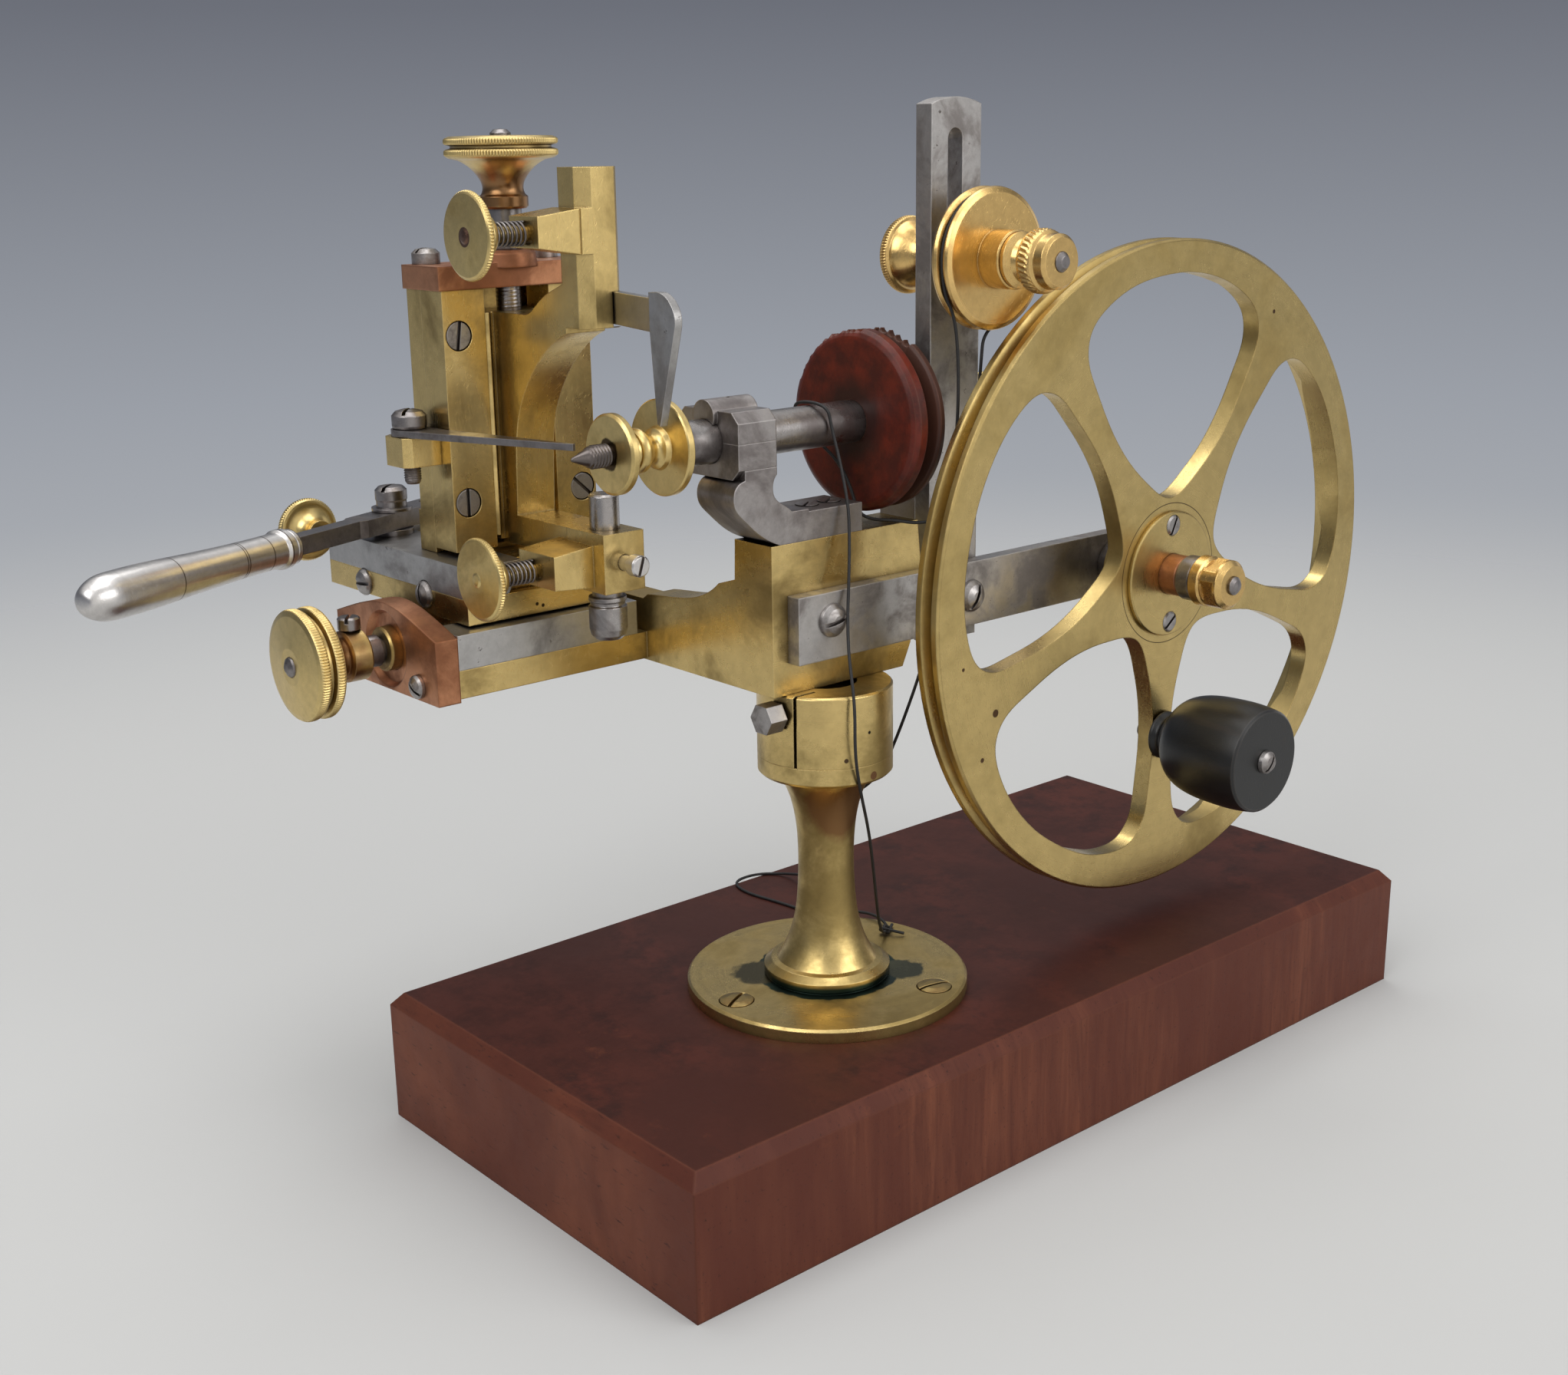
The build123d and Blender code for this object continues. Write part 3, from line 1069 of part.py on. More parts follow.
# Vertical bar: slotted steel upright behind the horizontal bar, arched at the top.
slot_x0 = -6.0
slot_x1 = -1.0
slot_z0 = 203.0
slot_z1 = 244.5
vbar_z0 = 119.0
with BuildPart() as vertical_bar:
    with BuildSketch(at_y(front_y + vbar_t)):
        with BuildLine():
            Polyline((vbar_x0, vbar_top_z), (vbar_x0, vbar_z0), (vbar_x1, vbar_z0),
                     (vbar_x1, vbar_top_z))
            ThreePointArc((vbar_x1, vbar_top_z), ((vbar_x0 + vbar_x1) / 2, vbar_top_z + 1.6),
                          (vbar_x0, vbar_top_z))
        make_face()
    extrude(amount=vbar_t)
    with BuildSketch(at_y(front_y + vbar_t)):
        with Locations(Location(((slot_x0 + slot_x1) / 2, (slot_z0 + slot_z1) / 2), 90)):
            SlotOverall(slot_z1 - slot_z0, slot_x1 - slot_x0)
    extrude(amount=vbar_t, mode=Mode.SUBTRACT)
    with BuildSketch(at_y(front_y + vbar_t)):
        with Locations((-0.3, 130.3)):
            Circle(1.8)
    extrude(amount=vbar_t, mode=Mode.SUBTRACT)
vertical_bar.part.label = "vertical_bar"
export_step(vertical_bar.part, "parts/vertical_bar.step")

# Head screws: two round-headed screws in the horizontal bar and two countersunk ones in the
# foot of the headstock.
with BuildPart() as head_screws:
    for sx, sz, deep in ((-47.9, 132.1, 8.0), (-0.3, 130.3, vbar_t)):
        with BuildSketch(lathe_y(sx, sz)):
            Polygon((bar_y0 - 2.6, 0), (bar_y0 - 2.5, 1.4), (bar_y0 - 1.8, 3.0),
                    (bar_y0 - 0.8, 4.0), (bar_y0, 4.2), (bar_y0, 1.7), (front_y + deep, 1.7),
                    (front_y + deep, 0), align=None)
        revolve(axis=Axis((sx, 0, sz), (0, 1, 0)))
    for sx, sz, turn in ((-47.9, 132.1, 12.0), (-0.3, 130.3, 64.0)):
        with BuildSketch(Plane(origin=(sx, bar_y0 - 1.2, sz), x_dir=(
                math.cos(math.radians(turn)), 0, math.sin(math.radians(turn))),
                z_dir=(0, -1, 0))):
            Rectangle(10.0, 1.0)
        extrude(amount=3.0, mode=Mode.SUBTRACT)
    for sx in (-46.0, -39.0):
        with BuildSketch(lathe_z(sx, -5.4)):
            Polygon((block_top_z - 7.0, 0), (block_top_z - 7.0, 1.7), (155.9, 1.7),
                    (158.6, 2.9), (158.6, 0), align=None)
        revolve(axis=Axis((sx, -5.4, 0), (0, 0, 1)))
        with BuildSketch(at_z(157.9)):
            with Locations(Location((sx, -5.4), 35)):
                Rectangle(8.0, 0.7)
        extrude(amount=2.0, mode=Mode.SUBTRACT)
head_screws.part.label = "head_screws"
export_step(head_screws.part, "parts/head_screws.step")

# Headstock: steel C with a flat foot on the block and the lower half of the bearing.
up_x0 = -72.4
up_x1 = -61.1
up_y1 = 9.6
split_z = 176.1
cap_z1 = 183.2
foot_z1 = 158.9
with BuildPart() as headstock:
    with BuildSketch(at_y(block_back_y)):
        with BuildLine():
            Polyline((-60.3, block_top_z), (-34.4, block_top_z), (-34.4, foot_z1 - 0.6),
                     (-51.5, foot_z1 - 0.6), (-51.5, foot_z1), (-56.6, foot_z1))
            Spline((-56.6, foot_z1), (-59.4, 160.9), (-61.9, 163.0), (-62.4, 165.4),
                   (-61.1, 168.2))
            Polyline((-61.1, 168.2), (-61.1, 170.0), (-70.6, 170.0), (-70.6, 167.8))
            Spline((-70.6, 167.8), (-73.9, 165.0), (-73.6, 161.6), (-71.0, 158.6),
                   (-66.4, 154.6), (-60.3, block_top_z))
        make_face()
    extrude(amount=block_back_y - front_y)
    with BuildSketch(at_x(up_x0)):
        Polygon((front_y + 2.4, 167.8), (up_y1 - 2.4, 167.8), (up_y1, 170.2), (up_y1, split_z),
                (front_y, split_z), (front_y, 170.2), align=None)
    extrude(amount=up_x1 - up_x0)
    with BuildSketch(at_x(up_x0 - 3)):
        with Locations((spin_y, spin_z)):
            Circle(spin_r + fit)
    extrude(amount=20.0, mode=Mode.SUBTRACT)
    for sx in (-46.0, -39.0):
        with BuildSketch(lathe_z(sx, -5.4)):
            Polygon((block_top_z - 1.0, 0), (block_top_z - 1.0, 1.8), (155.9, 1.8), (159.4, 3.4),
                    (159.4, 0), align=None)
        revolve(axis=Axis((sx, -5.4, 0), (0, 0, 1)), mode=Mode.SUBTRACT)
headstock.part.label = "headstock"
export_step(headstock.part, "parts/headstock.step")

# Headstock cap: upper half of the bearing, with a rounded oil ridge along the top.
ridge_y = -1.15
with BuildPart() as headstock_cap:
    with BuildSketch(at_x(up_x0)):
        Polygon((front_y, split_z), (up_y1, split_z), (up_y1, cap_z1 - 2.4), (up_y1 - 2.4, cap_z1),
                (front_y + 2.4, cap_z1), (front_y, cap_z1 - 2.4), align=None)
    extrude(amount=up_x1 - up_x0)
    with BuildSketch(at_x(up_x0 - 1.2)):
        with Locations((ridge_y, cap_z1 - 1.4)):
            Circle(3.8)
    extrude(amount=up_x1 - up_x0 + 2.0)
    with BuildSketch(at_x(up_x0 - 3)):
        with Locations((spin_y, spin_z)):
            Circle(spin_r + fit)
    extrude(amount=20.0, mode=Mode.SUBTRACT)
    with BuildSketch(at_z(spin_z)):
        with Locations(((up_x0 + up_x1) / 2, ridge_y)):
            Circle(0.9)
    extrude(amount=12.0, mode=Mode.SUBTRACT)
headstock_cap.part.label = "headstock_cap"
export_step(headstock_cap.part, "parts/headstock_cap.step")

# Rear bearing: steel block on the back of the vertical bar, round-topped, for the tail of the
# spindle.
tail_x0 = -16.0
rear_x0 = -11.0
rear_x1 = -3.0
with BuildPart() as rear_bearing:
    with BuildSketch(at_x(rear_x0)):
        with BuildLine():
            Polyline((-8.6, spin_z), (-7.0, spin_z), (-7.0, 150.0), (6.0, 150.0), (6.0, spin_z))
            ThreePointArc((6.0, spin_z), (-1.3, spin_z + 8.6), (-7.0, spin_z + 4.5))
            Polyline((-7.0, spin_z + 4.5), (-7.0, spin_z + 1.0), (-8.6, spin_z + 1.0),
                     (-8.6, spin_z))
        make_face()
    extrude(amount=rear_x1 - rear_x0)
    with BuildSketch(at_y(-7.0)):
        Rectangle(80.0, 600.0)
    extrude(amount=5.0, mode=Mode.SUBTRACT)
    with BuildSketch(at_x(rear_x0 - 1)):
        with Locations((spin_y, spin_z)):
            Circle(screw_r + fit)
    extrude(amount=5.0, mode=Mode.SUBTRACT)
    with BuildSketch(at_x(rear_x0 - 1)):
        with Locations((spin_y, spin_z)):
            Circle(1.9)
    extrude(amount=12.0, mode=Mode.SUBTRACT)
rear_bearing.part.label = "rear_bearing"
export_step(rear_bearing.part, "parts/rear_bearing.step")

# Rear centre: steel screw behind the spindle tail, its brass knurled nut as a second solid.
with BuildPart() as rear_centre:
    with BuildSketch(lathe_x(spin_y, spin_z)):
        Polygon((-6.9, 0), (-6.4, 1.9), (24.0, 1.9), (24.6, 1.2), (24.6, 0), align=None)
    revolve(axis=Axis((0, spin_y, spin_z), (1, 0, 0)))
    with BuildSketch(lathe_x(spin_y, spin_z)):
        Polygon((10.0, 1.92), (10.0, 4.2), (15.0, 4.0), (17.4, 6.4), (18.0, 7.6), (21.6, 7.6),
                (22.4, 6.6), (22.8, 1.92), align=None)
    revolve(axis=Axis((0, spin_y, spin_z), (1, 0, 0)))
rear_centre.part.label = "rear_centre"
export_step(rear_centre.part, "parts/rear_centre.step")

# Spindle: steel shaft with a threaded nose and a thin tail.
with BuildPart() as spindle:
    with BuildSketch(lathe_x(spin_y, spin_z)):
        Polygon((-110.7, 0), (-110.3, 0.5), (-106.6, nose_r - 0.3), (-106.2, nose_r),
                (big_x0 + 2.0, nose_r), (big_x0 + 2.0, spin_r), (tail_x0, spin_r),
                (tail_x0, screw_r), (-7.8, screw_r), (-7.0, 1.2), (-7.0, 0), align=None)
    revolve(axis=Axis((0, spin_y, spin_z), (1, 0, 0)))
spindle.part.label = "spindle"
export_step(spindle.part, "parts/spindle.step")

# Spindle pulley: red-brown turned pulley with a V groove near its back.
pulley_x1 = pulley_x0 + pulley_t
with BuildPart() as spindle_pulley:
    with BuildSketch(lathe_x(spin_y, spin_z)):
        Polygon((pulley_x0, spin_r), (pulley_x0, pulley_r - 2.6), (pulley_x0 + 0.7, pulley_r - 0.8),
                (pulley_x0 + 1.8, pulley_r), (pulley_x0 + 3.9, pulley_r),
                (pulley_x0 + 4.7, pulley_r - 0.7), (pulley_x0 + 6.3, pulley_r - 4.4),
                (pulley_x0 + 7.0, pulley_r - 4.4), (pulley_x0 + 8.2, pulley_r - 0.9),
                (pulley_x0 + 8.8, pulley_r - 0.3), (pulley_x1 - 0.4, pulley_r - 0.4),
                (pulley_x1, pulley_r - 1.2), (pulley_x1, spin_r), align=None)
    revolve(axis=Axis((0, spin_y, spin_z), (1, 0, 0)))
spindle_pulley.part.label = "spindle_pulley"
export_step(spindle_pulley.part, "parts/spindle_pulley.step")

# Big collar: brass disc at the shoulder of the spindle, with a baluster neck.
with BuildPart() as big_collar:
    with BuildSketch(lathe_x(spin_y, spin_z)):
        with BuildLine():
            Polyline((big_x0 + 2.0, nose_r), (big_x0 + 2.0, big_r - 0.3), (big_x0 + 1.7, big_r),
                     (big_x0 + 0.3, big_r), (big_x0, big_r - 0.3), (big_x0 - 0.2, 5.0),
                     (big_x0 - 1.4, 4.6))
            Spline((big_x0 - 1.4, 4.6), (big_x0 - 3.2, 3.3), (big_x0 - 5.4, 4.9),
                   (big_x0 - 7.6, 4.4))
            Polyline((big_x0 - 7.6, 4.4), (big_x0 - 7.6, nose_r), (big_x0 + 2.0, nose_r))
        make_face()
    revolve(axis=Axis((0, spin_y, spin_z), (1, 0, 0)))
big_collar.part.label = "big_collar"
export_step(big_collar.part, "parts/big_collar.step")

# Small collar: brass nut disc on the nose, in front of the neck.
small_x0 = -100.6
with BuildPart() as small_collar:
    with BuildSketch(lathe_x(spin_y, spin_z)):
        Polygon((small_x0, nose_r), (small_x0, small_r - 0.6), (small_x0 + 0.6, small_r),
                (small_x0 + 1.9, small_r), (small_x0 + 2.5, small_r - 0.8),
                (small_x0 + 3.0, 4.6), (small_x0 + 4.4, 3.6), (big_x0 - 7.6, 4.0),
                (big_x0 - 7.6, nose_r), align=None)
    revolve(axis=Axis((0, spin_y, spin_z), (1, 0, 0)))
small_collar.part.label = "small_collar"
export_step(small_collar.part, "parts/small_collar.step")

# Idler stud: steel stud clamped through the slot of the vertical bar.
idler_y0 = -26.5
idler_y1 = -20.4
bar_back_y = front_y + vbar_t
stud_r = 2.35
with BuildPart() as idler_stud:
    with BuildSketch(lathe_y(idler_x, idler_z)):
        Polygon((6.4, 0), (6.2, 0.9), (5.6, stud_r), (-46.8, stud_r), (-47.8, 1.4), (-47.8, 0),
                align=None)
    revolve(axis=Axis((idler_x, 0, idler_z), (0, 1, 0)))
    with BuildSketch(lathe_y(idler_x, idler_z)):
        Polygon((front_y, stud_r), (front_y, 5.6), (idler_y1 + 0.1, 5.6), (idler_y1 + 0.1, stud_r),
                align=None)
    revolve(axis=Axis((idler_x, 0, idler_z), (0, 1, 0)))
idler_stud.part.label = "idler_stud"
export_step(idler_stud.part, "parts/idler_stud.step")

# Idler pulley: brass, twin beads with a round groove between, and a plain hub in front.
with BuildPart() as idler_pulley:
    with BuildSketch(lathe_y(idler_x, idler_z)):
        Polygon((idler_y1, stud_r + fit), (idler_y1, idler_r - 1.4), (idler_y1 - 0.5, idler_r - 0.3),
                (idler_y1 - 1.3, idler_r), (idler_y1 - 2.0, idler_r - 0.4),
                (idler_y1 - 2.6, idler_r - 1.7), (idler_y1 - 3.5, idler_r - 1.7),
                (idler_y1 - 4.1, idler_r - 0.4), (idler_y1 - 4.8, idler_r),
                (idler_y0 + 0.5, idler_r - 0.3), (idler_y0, idler_r - 1.4), (idler_y0, 6.9),
                (-32.6, 6.9), (-32.9, 6.6), (-32.9, stud_r + fit), align=None)
    revolve(axis=Axis((idler_x, 0, idler_z), (0, 1, 0)))
idler_pulley.part.label = "idler_pulley"
export_step(idler_pulley.part, "parts/idler_pulley.step")

# Idler front nut: brass, waisted neck and a knurled drum with a stepped face.
with BuildPart() as idler_front_nut:
    with BuildSketch(lathe_y(idler_x, idler_z)):
        Polygon((-33.0, stud_r), (-33.0, 6.4), (-34.2, 6.6), (-35.4, 5.2), (-36.6, 4.6),
                (-37.6, 5.0), (-38.2, 6.4), (-38.8, 7.1), (-42.6, 7.1), (-43.3, 6.4),
                (-45.8, 6.4), (-46.6, 5.6), (-46.6, stud_r), align=None)
    revolve(axis=Axis((idler_x, 0, idler_z), (0, 1, 0)))
idler_front_nut.part.label = "idler_front_nut"
export_step(idler_front_nut.part, "parts/idler_front_nut.step")

# Idler rear nut: domed and knurled brass thumb nut behind the vertical bar.
with BuildPart() as idler_rear_nut:
    with BuildSketch(lathe_y(idler_x, idler_z)):
        with BuildLine():
            Polyline((5.6, stud_r), (bar_back_y, stud_r), (bar_back_y, 5.0), (-6.2, 5.0))
            Spline((-6.2, 5.0), (-4.0, 4.9), (-1.4, 6.6), (1.8, 8.5))
            Polyline((1.8, 8.5), (2.3, 9.15), (4.4, 9.15), (4.9, 8.4), (5.6, 4.0), (5.6, stud_r))
        make_face()
    revolve(axis=Axis((idler_x, 0, idler_z), (0, 1, 0)))
idler_rear_nut.part.label = "idler_rear_nut"
export_step(idler_rear_nut.part, "parts/idler_rear_nut.step")

# Flywheel: grooved rim, five spokes with curved flanks, round hub. A window's flank is given as
# shares of the way from the hub to the rim, each with half the window's angle there.
window_half = ((0.995, 12.0), (0.971, 21.0), (0.915, 27.6), (0.828, 30.4), (0.690, 31.3),
               (0.516, 31.6), (0.343, 30.4), (0.205, 26.6), (0.100, 20.0), (0.024, 10.5))
window_depth = rim_in_r - 0.1 - window_in_r
hub_back_y = fly_y0 + hub_t
with BuildPart() as flywheel:
    with BuildSketch(lathe_y(fly_x, fly_z)):
        Polygon((fly_y0, 0), (fly_y0, fly_r - 0.6), (fly_y0 + 0.6, fly_r), (fly_y0 + 2.2, fly_r),
                (fly_y0 + 3.6, fly_r - 3.0), (fly_y0 + 4.4, fly_r - 3.0),
                (fly_y0 + 5.8, fly_r), (fly_y0 + rim_t - 0.6, fly_r),
                (fly_y0 + rim_t, fly_r - 0.6), (fly_y0 + rim_t, rim_in_r),
                (fly_y0 + web_t, rim_in_r - 1.0), (fly_y0 + web_t, 14.0), (hub_back_y, 13.4),
                (hub_back_y, 0), align=None)
    revolve(axis=Axis((fly_x, 0, fly_z), (0, 1, 0)))
    for k in range(5):
        mid = 90.0 + 72.0 * k
        ring = [(1.0, 0.0)] + list(window_half) + [(0.0, 0.0)]
        ring += [(share, -half) for share, half in reversed(window_half)]
        ring = [(window_in_r + window_depth * share, math.radians(mid + half))
                for share, half in ring]
        pts = [(fly_x + r * math.cos(a), fly_z + r * math.sin(a)) for r, a in ring]
        with BuildSketch(at_y(fly_y0 + rim_t + 1)):
            with BuildLine():
                Spline(*pts, periodic=True)
            make_face()
        extrude(amount=rim_t + 2, mode=Mode.SUBTRACT)
    with BuildSketch(at_y(-20.0)):
        with Locations((fly_x, fly_z)):
            Circle(bush_r)
    extrude(amount=20.0, mode=Mode.SUBTRACT)
    with BuildSketch(at_y(-28.0)):
        with Locations((fly_x, fly_z + 13.0), (fly_x, fly_z - 13.0)):
            Circle(1.5)
        with Locations((fly_x, fly_z - handle_pitch_r)):
            Circle(2.0)
    extrude(amount=10.0, mode=Mode.SUBTRACT)
flywheel.part.label = "flywheel"
export_step(flywheel.part, "parts/flywheel.step")

# Hub plate: thin brass disc on the face of the hub.
hub_y0 = fly_y0 - 1.2
with BuildPart() as hub_plate:
    with BuildSketch(lathe_y(fly_x, fly_z)):
        Polygon((fly_y0, bush_r), (fly_y0, 16.6), (hub_y0 + 0.3, 16.6), (hub_y0, 16.3),
                (hub_y0, bush_r), align=None)
    revolve(axis=Axis((fly_x, 0, fly_z), (0, 1, 0)))
    with BuildSketch(at_y(fly_y0)):
        with Locations((fly_x, fly_z + 13.0), (fly_x, fly_z - 13.0)):
            Circle(2.75)
    extrude(amount=3.0, mode=Mode.SUBTRACT)
hub_plate.part.label = "hub_plate"
export_step(hub_plate.part, "parts/hub_plate.step")

# Hub bush: copper bush through the hub.
with BuildPart() as hub_bush:
    with BuildSketch(lathe_y(fly_x, fly_z)):
        Polygon((hub_back_y, axle_r + fit), (hub_back_y, bush_r), (-41.1, bush_r),
                (-41.5, bush_r - 0.4), (-41.5, axle_r + fit), align=None)
    revolve(axis=Axis((fly_x, 0, fly_z), (0, 1, 0)))
hub_bush.part.label = "hub_bush"
export_step(hub_bush.part, "parts/hub_bush.step")

# Flywheel screws: two slotted screws in the hub plate and the slotted, domed screw of the crank
# handle.
grip_y1 = -68.5
with BuildPart() as flywheel_screws:
    for dz, turn in ((13.0, 64.0), (-13.0, 38.0)):
        with BuildSketch(lathe_y(fly_x, fly_z + dz)):
            Polygon((hub_y0 - 0.4, 0), (hub_y0 - 0.4, 2.2), (hub_y0, 2.7), (fly_y0, 2.7),
                    (fly_y0, 1.45), (-29.0, 1.45), (-29.0, 0), align=None)
        revolve(axis=Axis((fly_x, 0, fly_z + dz), (0, 1, 0)))
        with BuildSketch(Plane(origin=(fly_x, hub_y0 + 0.4, fly_z + dz), x_dir=(
                math.cos(math.radians(turn)), 0, math.sin(math.radians(turn))),
                z_dir=(0, -1, 0))):
            Rectangle(8.0, 0.8)
        extrude(amount=3.0, mode=Mode.SUBTRACT)
    with BuildSketch(lathe_y(fly_x, fly_z - handle_pitch_r)):
        Polygon((-28.2, 0), (-28.2, 1.95), (grip_y1 - 0.1, 1.95), (grip_y1 - 0.1, 3.1),
                (grip_y1 - 1.2, 2.9), (grip_y1 - 2.1, 1.9), (grip_y1 - 2.4, 0), align=None)
    revolve(axis=Axis((fly_x, 0, fly_z - handle_pitch_r), (0, 1, 0)))
    with BuildSketch(Plane(origin=(fly_x, grip_y1 - 1.2, fly_z - handle_pitch_r), x_dir=(
            math.cos(math.radians(55.0)), 0, math.sin(math.radians(55.0))),
            z_dir=(0, -1, 0))):
        Rectangle(8.0, 0.8)
    extrude(amount=3.0, mode=Mode.SUBTRACT)
flywheel_screws.part.label = "flywheel_screws"
export_step(flywheel_screws.part, "parts/flywheel_screws.step")

# Crank handle: ebony barrel with a beaded neck, free to turn on its screw.
with BuildPart() as crank_handle:
    with BuildSketch(lathe_y(fly_x, fly_z - handle_pitch_r)):
        with BuildLine():
            Polyline((grip_y1, 2.0), (fly_y0 - 0.1, 2.0), (fly_y0 - 0.1, 5.4))
            Spline((fly_y0 - 0.1, 5.4), (-36.2, 6.4), (-37.6, 5.5), (-38.9, 6.3), (-40.2, 5.8))
            Spline((-40.2, 5.8), (-41.2, 8.6), (-43.6, 11.4), (-48.0, 13.3), (-56.0, 14.2),
                   (-63.0, 14.2), (-67.9, 13.6))
            Polyline((-67.9, 13.6), (grip_y1, 13.0), (grip_y1, 2.0))
        make_face()
    revolve(axis=Axis((fly_x, 0, fly_z - handle_pitch_r), (0, 1, 0)))
crank_handle.part.label = "crank_handle"
export_step(crank_handle.part, "parts/crank_handle.step")

# Axle stud: steel stud fixed in the horizontal bar, with a dark collar in front of the bush.
with BuildPart() as axle_stud:
    with BuildSketch(lathe_y(fly_x, fly_z)):
        Polygon((-9.6, 0), (-9.6, 5.4), (front_y, 5.4), (front_y, axle_r), (bar_y0, axle_r),
                (bar_y0, 6.4), (hub_back_y + 0.1, 6.4), (hub_back_y + 0.1, axle_r),
                (-41.6, axle_r), (-41.6, 5.6),
                (-42.1, 5.9), (-45.6, 5.9), (-46.0, 5.4), (-46.0, 2.4), (-56.6, 2.4),
                (-57.3, 1.6), (-57.6, 0), align=None)
    revolve(axis=Axis((fly_x, 0, fly_z), (0, 1, 0)))
axle_stud.part.label = "axle_stud"
export_step(axle_stud.part, "parts/axle_stud.step")

# Axle nut: brass nut, turned, with two pairs of flats.
with BuildPart() as axle_nut:
    with BuildSketch(lathe_y(fly_x, fly_z)):
        Polygon((-46.0, 2.4), (-46.0, 5.8), (-46.5, 6.6), (-49.0, 6.6), (-49.4, 6.0),
                (-50.0, 6.0), (-50.0, 6.4), (-54.8, 6.4), (-56.0, 5.2), (-56.0, 2.4), align=None)
    revolve(axis=Axis((fly_x, 0, fly_z), (0, 1, 0)))
    for turn in (20.0, 110.0, 200.0, 290.0):
        with BuildSketch(Plane(origin=(fly_x, -50.0, fly_z), x_dir=(
                math.cos(math.radians(turn)), 0, math.sin(math.radians(turn))),
                z_dir=(0, -1, 0))):
            with Locations((10.4, 0)):
                Rectangle(10.0, 16.0)
        extrude(amount=4.0, mode=Mode.SUBTRACT)
axle_nut.part.label = "axle_nut"
export_step(axle_nut.part, "parts/axle_nut.step")
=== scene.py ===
import json
import math
import random

import bmesh
import bpy
from mathutils import Matrix, Vector


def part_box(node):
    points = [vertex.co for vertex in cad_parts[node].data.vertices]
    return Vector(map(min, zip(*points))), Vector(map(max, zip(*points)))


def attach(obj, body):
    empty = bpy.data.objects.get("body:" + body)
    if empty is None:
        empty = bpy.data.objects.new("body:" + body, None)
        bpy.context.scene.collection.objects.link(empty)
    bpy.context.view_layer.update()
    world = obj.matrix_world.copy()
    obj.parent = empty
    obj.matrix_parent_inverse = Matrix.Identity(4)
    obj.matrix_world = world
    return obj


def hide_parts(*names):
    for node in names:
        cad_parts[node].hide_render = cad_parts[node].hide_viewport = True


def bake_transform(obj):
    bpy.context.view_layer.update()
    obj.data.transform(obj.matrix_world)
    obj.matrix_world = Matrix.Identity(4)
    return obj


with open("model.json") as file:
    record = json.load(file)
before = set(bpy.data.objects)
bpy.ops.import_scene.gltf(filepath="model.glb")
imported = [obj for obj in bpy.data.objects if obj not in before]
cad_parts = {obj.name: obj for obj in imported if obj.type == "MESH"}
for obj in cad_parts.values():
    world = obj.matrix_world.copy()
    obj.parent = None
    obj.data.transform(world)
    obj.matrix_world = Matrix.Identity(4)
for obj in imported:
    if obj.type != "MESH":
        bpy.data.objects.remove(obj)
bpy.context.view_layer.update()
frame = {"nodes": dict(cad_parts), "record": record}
nodes = frame["nodes"]
mm = 0.001


# Camera: it stands left of the tool and a little above it, where the photograph was taken,
# and looks down along the board. The picture is 2044 x 1792 pixels.
picture_width = 2044
focal_length_px = 2515.8
sensor_width = 36.0
camera_place = Vector((-0.34765, -0.34729, 0.24243))
turned_right, tilted_down, rolled = (math.radians(a) for a in (40.65, 15.86, -0.846))
ahead = Vector((math.sin(turned_right) * math.cos(tilted_down),
                math.cos(turned_right) * math.cos(tilted_down), -math.sin(tilted_down)))
level = Vector((math.cos(turned_right), -math.sin(turned_right), 0.0))
over = level.cross(ahead)
right = level * math.cos(rolled) + over * math.sin(rolled)
up = over * math.cos(rolled) - level * math.sin(rolled)
camera_data = bpy.data.cameras.new("camera")
camera_data.sensor_width = sensor_width
camera_data.lens = focal_length_px / picture_width * sensor_width
camera_data.clip_start = 0.01
camera = bpy.data.objects.new("camera", camera_data)
bpy.context.scene.collection.objects.link(camera)
camera.matrix_world = Matrix((right, up, -ahead)).transposed().to_4x4()
camera.location = camera_place
bpy.context.scene.camera = camera
bpy.context.scene.view_settings.view_transform = "Standard"


# Floor: a pale sheet of paper. It fades out behind the tool, where the backdrop shows instead.
# Its material is made of shader nodes: one call of put adds one node with its settings.
def put(tree, kind, sockets=None, **settings):
    node = tree.nodes.new(kind)
    for key, value in settings.items():
        setattr(node, key, value)
    for key, value in (sockets or {}).items():
        if isinstance(value, bpy.types.NodeSocket):
            tree.links.new(value, node.inputs[key])
        else:
            node.inputs[key].default_value = value
    return node


def fresh_material(name):
    material = bpy.data.materials.new(name)
    material.use_nodes = True
    tree = material.node_tree
    tree.nodes.clear()
    return material, tree


floor_radius = 1.6
floor_tone = (0.46, 0.46, 0.453)
fade_start, fade_end = 0.34, 1.0
floor_form = bmesh.new()
bmesh.ops.create_circle(floor_form, cap_ends=True, segments=128, radius=floor_radius)
floor_mesh = bpy.data.meshes.new("floor")
floor_form.to_mesh(floor_mesh)
floor_form.free()
floor = bpy.data.objects.new("floor", floor_mesh)
bpy.context.scene.collection.objects.link(floor)
floor_paper, tree = fresh_material("floor_paper")
place = put(tree, "ShaderNodeTexCoord")
reach = put(tree, "ShaderNodeVectorMath", {0: place.outputs["Object"]}, operation="LENGTH")
fade = put(tree, "ShaderNodeMapRange", {"Value": reach.outputs["Value"], "From Min": fade_start,
                                        "From Max": fade_end}, interpolation_type="SMOOTHSTEP")
paper = put(tree, "ShaderNodeBsdfPrincipled", {"Base Color": (*floor_tone, 1), "Roughness": 0.8,
                                               "Specular IOR Level": 0.2})
clear = put(tree, "ShaderNodeBsdfTransparent")
